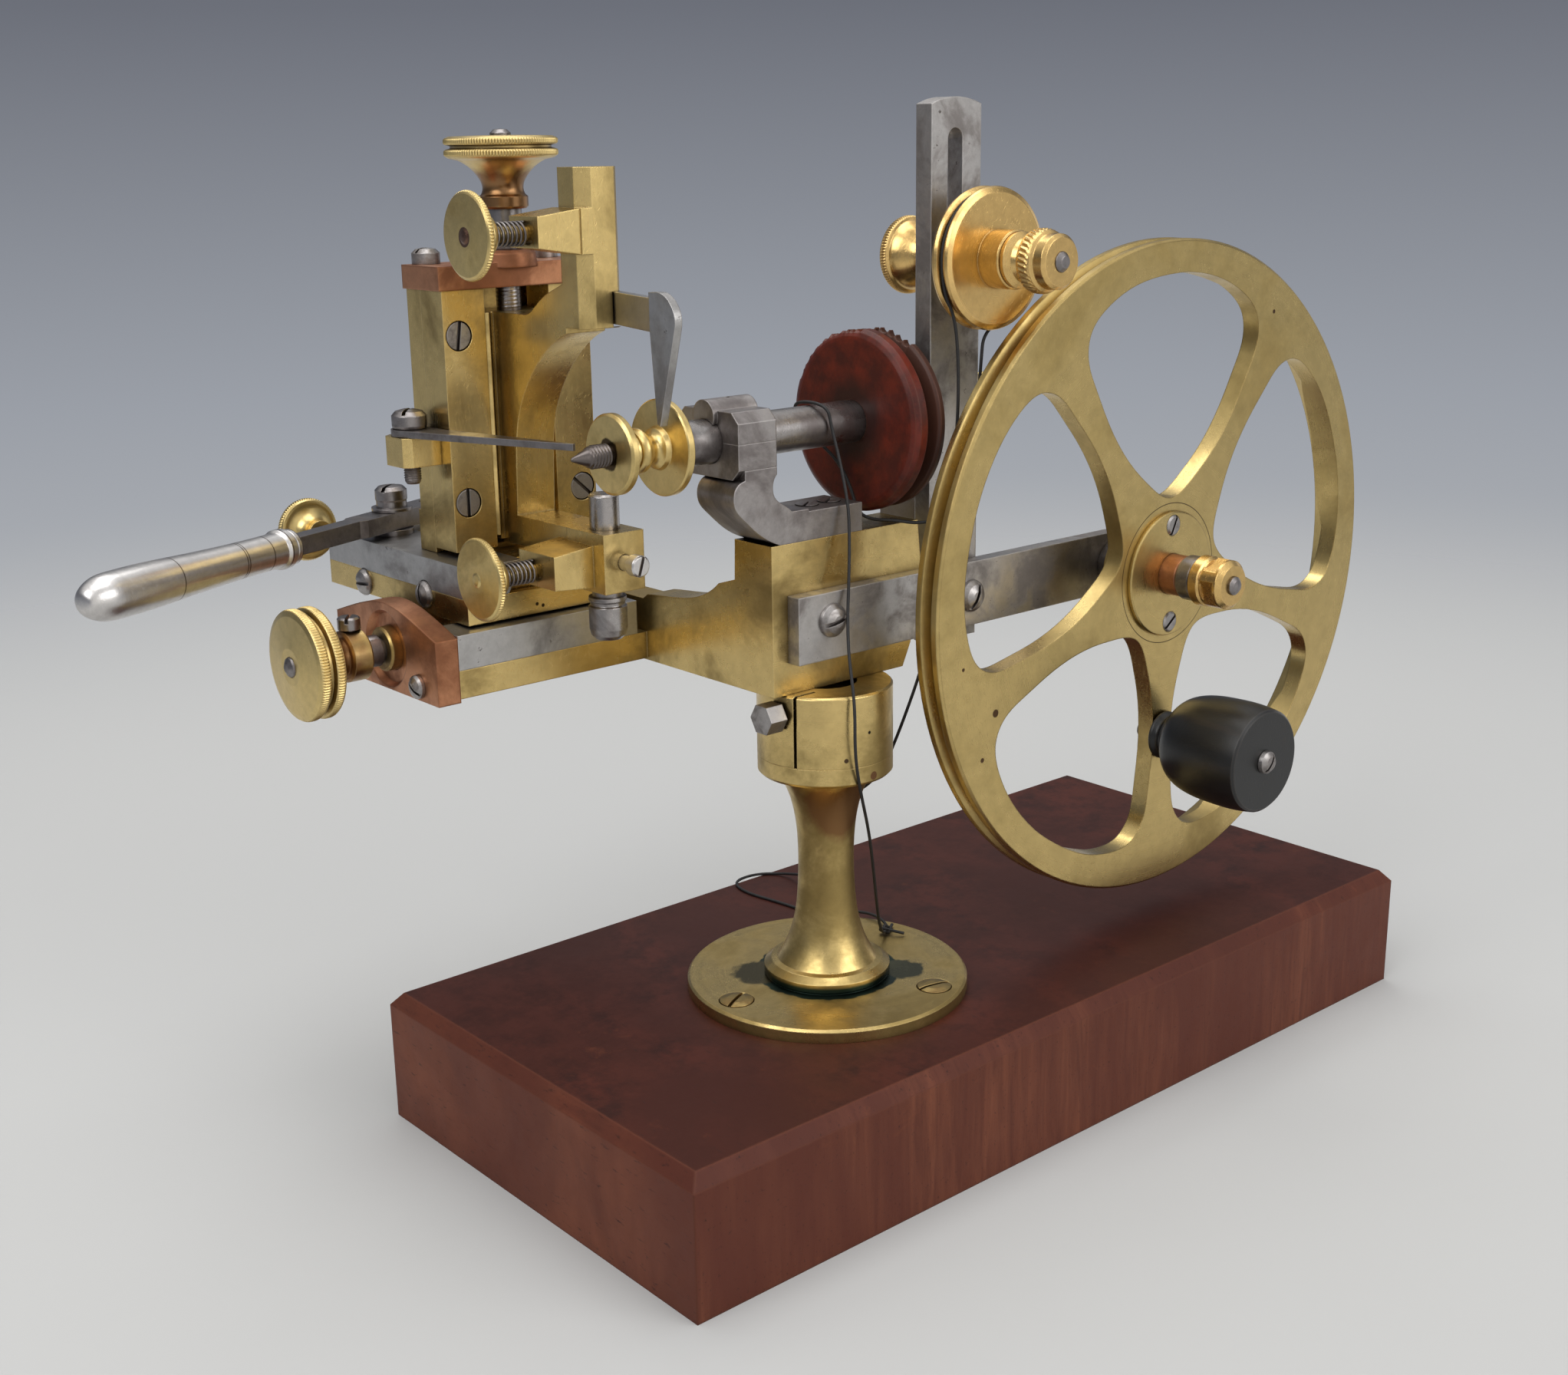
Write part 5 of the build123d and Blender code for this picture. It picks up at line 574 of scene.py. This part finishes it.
spindle_steel = metal("spindle_steel", (0.35, 0.33, 0.32), (0.17, 0.15, 0.145),
                      (0.05, 0.038, 0.034), cloud=70.0, dull_share=0.55, stain_share=0.35,
                      rough=(0.20, 0.38), turning=((0, spindle_axis.y, spindle_axis.z), X),
                      pitch=1300.0, marks=nose_marks)
dark_steel = metal("dark_steel", (0.26, 0.24, 0.235), (0.13, 0.115, 0.11), (0.04, 0.03, 0.028),
                   cloud=90.0, dull_share=0.55, stain_share=0.35, rough=(0.24, 0.42),
                   stretch=(420, 60, 420))
dress(spindle_steel, "spindle", "runner_pin", "rear_stop_screw")
dress(dark_steel, "feed_lever", "lever_pivot_screw", "finger", "finger_screw", "bed_leadscrew",
      "vertical_leadscrew", "thumb_springs", "idler_stud", "axle_stud")


# Lever handle: bright steel, turned and lightly scored across, with a ringed ferrule.
handle_low, handle_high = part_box("lever_handle")
handle_run = Vector((math.cos(math.radians(201.6)), math.sin(math.radians(201.6)), 0))
handle_start = Vector((-102.5 * mm, 93.0 * mm, (handle_low.z + handle_high.z) / 2))


def handle_marks(tree, place):
    lines = (39.4, 40.9, 43.2, 49.0, 57.5, 58.2, 79.0)
    return [(slice_at(tree, place, handle_start, handle_run, at, 0.09), (0.14, 0.12, 0.11))
            for at in lines]


handle_steel = metal("handle_steel", (0.60, 0.58, 0.565), (0.42, 0.40, 0.385),
                     (0.16, 0.13, 0.11), cloud=45.0, dull_share=0.4, stain_share=0.15,
                     rough=(0.24, 0.4), turning=(handle_start, handle_run), pitch=1100.0,
                     marks_depth=0.02, edge_share=0.2, marks=handle_marks)
dress(handle_steel, "lever_handle", "runner_clamp_screw")


# Bright brass: idler and its nuts, the axle nut, and the knobs, cleaner than the castings.
idler_axis = middle("idler_pulley")
idler_brass = metal("idler_brass", (0.70, 0.47, 0.18), (0.44, 0.275, 0.095), (0.20, 0.10, 0.04),
                    cloud=60.0, dull_share=0.35, stain_share=0.15, rough=(0.2, 0.36),
                    turning=((idler_axis.x, 0, idler_axis.z), Y), pitch=1100.0, scratch=0.55)


def knob_marks(tree, place):
    brown = (0.25, 0.135, 0.06)
    return [(spot(tree, place, (-86.75, 57.0, 231.5), 7.0, soft=3 * mm, wander=2 * mm), brown),
            (spot(tree, place, (-137.0, 61.1, 124.5), 6.0, soft=3 * mm, wander=2 * mm), brown),
            (spot(tree, place, (-119.3, 23.2, 222.9), 2.1), (0.15, 0.085, 0.06)),
            (spot(tree, place, (-100.6, -1.3, 176.0), 3.2, soft=0.4 * mm, wander=1.2 * mm),
             (0.07, 0.045, 0.02))]


knob_brass = metal("knob_brass", (0.66, 0.50, 0.21), (0.42, 0.31, 0.12), (0.13, 0.08, 0.04),
                   cloud=60.0, dull_share=0.4, stain_share=0.2, rough=(0.24, 0.42),
                   stretch=(300, 300, 300), edge_share=0.4, marks=knob_marks)
dress(idler_brass, "idler_pulley", "idler_front_nut", "idler_rear_nut", "axle_nut")
dress(knob_brass, "bed_handwheel", "top_knob", "upper_thumb_screw", "lower_thumb_screw",
      "rear_stop_knob", "rear_centre", "big_collar", "small_collar")


# Flywheel: cast brass with a turned rim and face, satin, with brown spots in the castings.
wheel_axis = middle("flywheel")


def wheel_marks(tree, place):
    spots = ((-10.8, -35, 105.3, 0.95), (-15.3, -35, 94.1, 0.55), (-22.4, -35, 118.6, 0.4),
             (96.0, -35, 196.0, 0.5), (40.2, -35, 96.4, 0.5), (120.5, -35, 168.0, 0.35))
    brown = [(spot(tree, place, at[:3], at[3]), (0.10, 0.055, 0.028)) for at in spots]
    scribed = hoop(tree, place, wheel_axis, Y, 18.7, 0.07, soft=0.08 * mm)
    return brown + [(scribed, (0.09, 0.06, 0.03))]


wheel_brass = metal("wheel_brass", (0.60, 0.445, 0.18), (0.42, 0.305, 0.115), (0.13, 0.08, 0.036),
                    cloud=24.0, dull_share=0.55, stain_share=0.26, rough=(0.20, 0.36),
                    turning=((wheel_axis.x, 0, wheel_axis.z), Y), pitch=700.0, edge=0.45,
                    edge_tone=(0.12, 0.08, 0.035), edge_share=0.55, marks=wheel_marks)
dress(wheel_brass, "flywheel", "hub_plate")


# Crank handle: turned ebony, black with a few brown streaks, polished by the hand.
ebony, tree = fresh_material("ebony")
place = put(tree, "ShaderNodeTexCoord").outputs["Object"]
figure = put(tree, "ShaderNodeTexNoise", {"Vector": scaled(tree, place, (150.0, 9.0, 150.0)),
                                          "Scale": 1.0, "Detail": 5.0, "Roughness": 0.6})
brown = put(tree, "ShaderNodeMapRange", {"Value": figure.outputs["Fac"], "From Min": 0.6,
                                         "From Max": 0.78})
nicks = use(tree, scratches, {"Vector": place, "Scale": 70.0}).outputs["Height"]
rim = use(tree, soft_edge, {"Radius": 0.5 * mm})
black = mixed(tree, brown.outputs["Result"], (0.006, 0.006, 0.006, 1), (0.024, 0.014, 0.009, 1))
black = mixed(tree, rim.outputs["Edge"], black, (0.05, 0.042, 0.038, 1))
bump = put(tree, "ShaderNodeBump", {"Height": nicks, "Distance": 0.03 * mm, "Strength": 0.4,
                                    "Normal": rim.outputs["Normal"]}, invert=True)
polish = put(tree, "ShaderNodeMapRange", {"Value": figure.outputs["Fac"], "To Min": 0.22,
                                          "To Max": 0.46})
hard_wood = put(tree, "ShaderNodeBsdfPrincipled", {"Base Color": black,
                                                   "Roughness": polish.outputs["Result"],
                                                   "Normal": bump.outputs["Normal"]})
put(tree, "ShaderNodeOutputMaterial", {"Surface": hard_wood.outputs["BSDF"]})
dress(ebony, "crank_handle")


# Milled bands and screw threads: ridges cut on the rims of the knobs and nuts, and on the ends
# of the screws. Each one is a thin sleeve on its knob or screw, of the same metal, and turns
# with it.
rides_on = {node: body for body, held in frame["record"]["behaviour"]["bodies"].items()
            for node in held}


def piece(name, points, faces, material, body, smooth=True):
    mesh = bpy.data.meshes.new(name)
    mesh.from_pydata([tuple(p) for p in points], [], faces)
    mesh.polygons.foreach_set("use_smooth", [smooth] * len(mesh.polygons))
    mesh.materials.append(material)
    thing = bpy.data.objects.new(name, mesh)
    bpy.context.scene.collection.objects.link(thing)
    if body:
        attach(thing, body)
    return thing


def sleeve(name, node, centre, along, rows, steps, radius_at, smooth):
    axis = Vector(along)
    one = axis.orthogonal().normalized()
    two = axis.cross(one)
    points, faces = [], []
    for at in rows:
        for step in range(steps):
            angle = math.tau * step / steps
            out = (one * math.cos(angle) + two * math.sin(angle)) * radius_at(at, angle)
            points.append((Vector(centre) + axis * at + out) * mm)
    for row in range(len(rows) - 1):
        for step in range(steps):
            following = (step + 1) % steps
            faces.append((row * steps + step, row * steps + following,
                          (row + 1) * steps + following, (row + 1) * steps + step))
    band = piece(name, points, faces, nodes[node].data.materials[0], rides_on[node], smooth)


def milled(name, node, centre, along, radius, start, end, teeth, depth=0.32, slant=0.0):
    width = end - start
    rows = [start + width * share for share in (0.02, 0.10, 0.25, 0.5, 0.75, 0.90, 0.98)]

    def radius_at(at, angle):
        share = (at - start) / width
        if share < 0.05 or share > 0.95:
            return radius - 0.03
        turn = (angle + slant * share) * teeth / math.tau
        ridge = 1 - abs(2 * (turn % 1.0) - 1) ** 1.4
        rounding = 0.45 if share < 0.15 or share > 0.85 else 1.0
        return radius + 0.03 + depth * ridge * rounding

    sleeve(name, node, centre, along, rows, teeth * 4, radius_at, False)


def threaded(name, node, centre, along, radius, start, end, pitch, depth):
    count = round((end - start) / pitch * 8)
    rows = [start + (end - start) * k / count for k in range(count + 1)]

    def radius_at(at, angle):
        turn = at / pitch - angle / math.tau
        ridge = 1 - abs(2 * (turn % 1.0) - 1)
        ends = min(1.0, (at - start) / pitch, (end - at) / pitch)
        return radius - 0.03 + depth * ridge * ends

    sleeve(name, node, centre, along, rows, 48, radius_at, True)


wheel_at, top_at = (0, 61.1, 124.5), (-86.75, 57.0, 0)
spindle_at, idler_at = (0, -1.3, 176.0), (-3.5, 0, 214.4)
milled("handwheel_milling_front", "bed_handwheel", wheel_at, X, 13.2, -148.7, -146.3, 118)
milled("handwheel_milling_back", "bed_handwheel", wheel_at, X, 13.2, -144.7, -142.5, 118)
milled("top_knob_milling_low", "top_knob", top_at, Z, 13.2, 239.5, 241.1, 118)
milled("top_knob_milling_high", "top_knob", top_at, Z, 13.2, 242.2, 243.7, 118)
milled("upper_disc_milling", "upper_thumb_screw", (0, 23.1, 223.1), X, 9.4, -118.6, -117.4, 84)
milled("lower_disc_milling", "lower_thumb_screw", (0, 26.3, 146.1), X, 9.4, -118.6, -117.4, 84)
milled("stop_knob_milling", "rear_stop_knob", (-106.4, 0, 141.3), Y, 8.3, 132.5, 134.2, 76)
milled("rear_centre_milling", "rear_centre", spindle_at, X, 7.6, 18.0, 21.6, 70)
milled("idler_rear_nut_milling", "idler_rear_nut", idler_at, Y, 9.15, 2.3, 4.4, 84)
milled("idler_front_nut_milling", "idler_front_nut", idler_at, Y, 7.1, -42.6, -38.8, 36,
       depth=0.42, slant=0.55)
threaded("spindle_nose_thread", "spindle", spindle_at, X, 2.27, -106.2, -100.6, 0.85, 0.5)
threaded("finger_screw_thread", "finger_screw", (-113.0, 62.8, 0), Z, 1.9, 164.0, 168.0, 0.6, 0.26)
threaded("vertical_screw_thread", "vertical_leadscrew", (-86.75, 57.0, 0), Z, 3.0, 203.5, 209.3,
         0.9, 0.13)


# Spindle pulley: turned red-brown fibre, worn dark at the back, pressed on the spindle, with a
# painted shadow round the hub and a painted highlight along its edges. The rear edge of its front
# disc is chipped away at the top.
pulley_profile = ((-27.5, 5.2), (-27.5, 19.7), (-27.35, 20.5), (-26.8, 21.5), (-25.7, 22.3),
                  (-24.6, 22.3), (-23.6, 22.3), (-22.8, 21.6), (-21.2, 17.9), (-20.5, 17.9),
                  (-19.3, 21.4), (-18.7, 22.0), (-17.4, 21.9), (-17.0, 21.1), (-17.0, 5.2))
chances = random.Random(7)


def scallops(first, last):
    found, at = [], math.radians(first)
    while at < math.radians(last):
        width = math.radians(chances.uniform(4.0, 9.5))
        found.append((at, at + width, chances.uniform(0.8, 1.9)))
        at += width * chances.uniform(0.85, 1.05)
    return found


front_chips, back_chips = scallops(-6, 62), scallops(-32, 12)
chipped = {-26.8: (0.25, front_chips), -25.7: (0.8, front_chips), -24.6: (1.0, front_chips),
           -23.6: (1.0, front_chips), -22.8: (0.75, front_chips), -19.3: (0.5, back_chips),
           -18.7: (0.9, back_chips), -17.4: (0.9, back_chips), -17.0: (0.6, back_chips)}


def chip_depth(x, r, angle):
    if x not in chipped or r < 20:
        return 0.0
    share_cut, found = chipped[x]
    depth = 0.0
    for low, high, deep in found:
        share = (angle - low) / (high - low)
        if 0 < share < 1:
            depth = max(depth, deep * (1 - (2 * share - 1) ** 2) ** 0.7)
    return depth * share_cut


pulley_steps = 720
points, faces = [], []
for x, r in pulley_profile:
    for step in range(pulley_steps):
        angle = math.tau * step / pulley_steps - math.pi
        size = r - chip_depth(x, r, angle)
        points.append(Vector((x, spindle_at[1] + size * math.sin(angle),
                              spindle_at[2] + size * math.cos(angle)))
                      * mm)
rows = len(pulley_profile)
for row in range(rows):
    below = (row + 1) % rows
    for step in range(pulley_steps):
        following = (step + 1) % pulley_steps
        faces.append((row * pulley_steps + step, below * pulley_steps + step,
                      below * pulley_steps + following, row * pulley_steps + following))
fibre, tree = fresh_material("fibre")
place = put(tree, "ShaderNodeTexCoord").outputs["Object"]
worn = put(tree, "ShaderNodeTexNoise", {"Vector": place, "Scale": 150.0, "Detail": 7.0,
                                        "Roughness": 0.7})
worn_share = put(tree, "ShaderNodeMapRange", {"Value": worn.outputs["Fac"], "From Min": 0.36,
                                              "From Max": 0.62}).outputs["Result"]
rings = use(tree, lathe_marks, {"Vector": place, "Centre": (0, spindle_axis.y, spindle_axis.z),
                                "Along": X, "Pitch Scale": 800.0}).outputs["Height"]
rim = use(tree, soft_edge, {"Radius": 0.5 * mm})
red = mixed(tree, worn_share, (0.115, 0.016, 0.008, 1), (0.048, 0.009, 0.006, 1))
behind = put(tree, "ShaderNodeSeparateXYZ", {"Vector": place}).outputs["X"]
behind = put(tree, "ShaderNodeMapRange", {"Value": behind, "From Min": -22.6 * mm,
                                          "From Max": -20.9 * mm}).outputs["Result"]
red = mixed(tree, behind, red, (0.050, 0.019, 0.012, 1))
# Painted shadow: the face is darkened in a soft ring around the hub.
painted_hub_shadow = hoop(tree, place, spindle_axis, X, 5.2, 2.5, soft=5 * mm, wander=2 * mm)
red = mixed(tree, painted_hub_shadow, red, (0.028, 0.009, 0.007, 1))
# Painted highlight: the edges of the rims are lightened to a pale orange brown.
red = mixed(tree, rim.outputs["Edge"], red, (0.10, 0.036, 0.021, 1))
bump = put(tree, "ShaderNodeBump", {"Height": rings, "Distance": 0.05 * mm, "Strength": 0.5,
                                    "Normal": rim.outputs["Normal"]})
bump = put(tree, "ShaderNodeBump", {"Height": worn.outputs["Fac"], "Distance": 0.2 * mm,
                                    "Strength": 0.45, "Normal": bump.outputs["Normal"]})
fibre_shine = put(tree, "ShaderNodeMapRange", {"Value": worn.outputs["Fac"], "To Min": 0.30,
                                               "To Max": 0.50})
red_fibre = put(tree, "ShaderNodeBsdfPrincipled", {"Base Color": red,
                                                   "Specular IOR Level": 0.25,
                                                   "Roughness": fibre_shine.outputs["Result"],
                                                   "Normal": bump.outputs["Normal"]})
put(tree, "ShaderNodeOutputMaterial", {"Surface": red_fibre.outputs["BSDF"]})
dress(fibre, "spindle_pulley")
chipped_pulley = piece("chipped_pulley", points, faces, fibre, rides_on["spindle_pulley"], False)
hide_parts("spindle_pulley")


# Drive line: one closed loop of black waxed thread, tied with a knot that rests on the flange. It
# goes up in front of the bar, over the spindle and the idler, down behind the drum, and lies
# slack on the board.
line_width = 0.8
idler_centre = Vector((-3.5, -23.45, 214.4))
idler_line_radius = 15.6
rising = ((-16.4, -1.8, 38.9), (-20.0, -4.5, 39.6), (-24.0, -7.0, 45.0), (-30.0, -12.0, 58.0),
          (-38.0, -18.5, 76.0), (-47.0, -24.8, 91.0), (-50.2, -26.4, 101.0), (-50.0, -26.3, 113.5),
          (-47.6, -21.6, 124.0), (-45.2, -18.6, 132.0), (-43.4, -17.2, 141.0),
          (-41.8, -15.8, 150.0), (-40.8, -14.4, 158.5), (-39.8, -10.6, 168.0),
          (-39.6, -7.4, 176.0), (-40.6, -6.9, 181.9), (-42.0, 4.3, 181.9), (-38.5, 5.3, 176.5),
          (-32.0, 6.6, 171.0), (-28.7, 2.5, 166.0), (-28.6, -2.0, 160.0), (-28.5, -4.2, 154.0),
          (-26.6, -7.5, 152.2), (-23.6, -12.2, 152.4), (-20.2, -17.2, 151.7),
          (-17.2, -23.0, 153.5),
          (-15.0, -23.5, 163.0), (-13.4, -23.5, 176.0), (-13.2, -23.5, 190.0),
          (-14.6, -23.45, 201.5))
corners = 8
first_turn, last_turn = math.radians(205.0), math.radians(-94.0)
corner_step = (last_turn - first_turn) / (corners - 1)
corner_radius = idler_line_radius / math.cos(corner_step / 2)
round_idler = tuple(idler_centre + Vector((math.cos(turn), 0, math.sin(turn))) * corner_radius
                    for turn in (first_turn + corner_step * k for k in range(corners)))
falling = ((-5.6, -23.5, 190.0), (-6.6, -23.5, 178.0), (-12.0, -23.5, 159.0),
           (-19.0, -23.5, 138.0), (-24.6, -24.6, 121.0), (-26.3, -17.5, 101.0),
           (-26.4, -10.0, 86.5), (-27.5, 0.5, 78.5), (-28.0, 7.5, 66.0), (-19.0, 25.0, 50.0),
           (-5.0, 44.0, 38.5), (-2.5, 55.5, 34.95), (-9.0, 61.4, 34.95), (-18.0, 60.8, 34.95),
           (-20.6, 52.0, 34.95), (-18.2, 40.0, 34.95), (-17.0, 29.5, 34.95), (-14.0, 20.0, 37.0),
           (-11.5, 10.0, 39.2), (-12.6, 2.0, 38.9), (-15.2, -1.0, 38.9))


def centreline(name, route):
    curve = bpy.data.curves.new(name, "CURVE")
    curve.dimensions = "3D"
    spline = curve.splines.new("NURBS")
    spline.points.add(len(route) - 1)
    for point, at in zip(spline.points, route):
        point.co = (*(c * mm for c in at), 1.0)
    spline.order_u = 3
    spline.use_endpoint_u = True
    spline.resolution_u = 12
    guide = bpy.data.objects.new(name, curve)
    path = [v.co.copy() for v in bpy.data.meshes.new_from_object(guide).vertices]
    bpy.data.objects.remove(guide)
    return path


def tube(name, path, width, material, sides=10):
    points, faces = [], []
    heading = (path[1] - path[0]).normalized()
    side = heading.orthogonal().normalized()
    for k, at in enumerate(path):
        ahead_of = path[min(k + 1, len(path) - 1)] - path[max(k - 1, 0)]
        heading = ahead_of.normalized()
        side = (side - heading * side.dot(heading)).normalized()
        other = heading.cross(side)
        for step in range(sides):
            angle = math.tau * step / sides
            points.append(at + (side * math.cos(angle) + other * math.sin(angle)) * width / 2)
    for k in range(len(path) - 1):
        for step in range(sides):
            following = (step + 1) % sides
            faces.append((k * sides + step, k * sides + following,
                          (k + 1) * sides + following, (k + 1) * sides + step))
    faces.append(tuple(reversed(range(sides))))
    faces.append(tuple((len(path) - 1) * sides + step for step in range(sides)))
    return piece(name, points, faces, material, None)


thread, tree = fresh_material("thread")
place = put(tree, "ShaderNodeTexCoord").outputs["Object"]
lay = put(tree, "ShaderNodeTexNoise", {"Vector": place, "Scale": 2600.0, "Detail": 3.0})
waxed = mixed(tree, lay.outputs["Fac"], (0.006, 0.006, 0.007, 1), (0.028, 0.026, 0.025, 1))
bump = put(tree, "ShaderNodeBump", {"Height": lay.outputs["Fac"], "Distance": 0.1 * mm,
                                    "Strength": 0.7})
twine = put(tree, "ShaderNodeBsdfPrincipled", {"Base Color": waxed, "Roughness": 0.6,
                                               "Normal": bump.outputs["Normal"],
                                               "Specular IOR Level": 0.35})
put(tree, "ShaderNodeOutputMaterial", {"Surface": twine.outputs["BSDF"]})

loop = centreline("drive_line_route", [*rising, *round_idler, *falling])


def nearest_to(at, start):
    return min(range(start, len(loop)), key=lambda k: (loop[k] - Vector(at) * mm).length)


under_pulley = nearest_to((-17.6, -22.6, 153.3), 0)
below_idler = nearest_to((-14.0, -23.5, 153.0), under_pulley + 40)
knot_x, knot_y = -16.4, -1.8
knot_turns = [(knot_x + 4.4, knot_y + 2.2, 38.6), (knot_x + 3.0, knot_y + 1.2, 38.8)]
knot_size = 0.52
for k in range(25):
    turn = 0.35 + math.tau * k / 26
    knot_turns.append((knot_x + knot_size * (math.sin(turn) + 2 * math.sin(2 * turn)),
                       knot_y + knot_size * (math.cos(turn) - 2 * math.cos(2 * turn)),
                       39.3 - 1.1 * knot_size * math.sin(3 * turn)))
knot_turns += [(knot_x + 0.6, knot_y - 3.0, 39.3), (knot_x + 2.4, knot_y - 4.4, 38.7)]
knot = tube("line_knot", centreline("knot_route", knot_turns), line_width * mm, thread)
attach(knot, "base")


def strand(name, path, lower, upper, start, end, far_end, lay_like, pieces=()):
    line = tube(name, path, line_width * mm, thread)
    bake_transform(line)
    length = sum((b - a).length for a, b in zip(path, path[1:]))
    return length


board_to_head = ((0, 0, 45 * mm), (0, 0, 90 * mm))
head_to_idler = ((0, 0, 150 * mm), (0, 0, 200 * mm))
strand("line_rising", loop[:under_pulley + 1], "base", "head", *board_to_head, "object", "hanging")
strand("line_over_idler", loop[under_pulley:below_idler + 1], "head", "idler_carriage",
       *head_to_idler, "object", "hanging")
strand("line_falling", loop[below_idler:], "base", "head", *board_to_head, "knot", "loose", [knot])
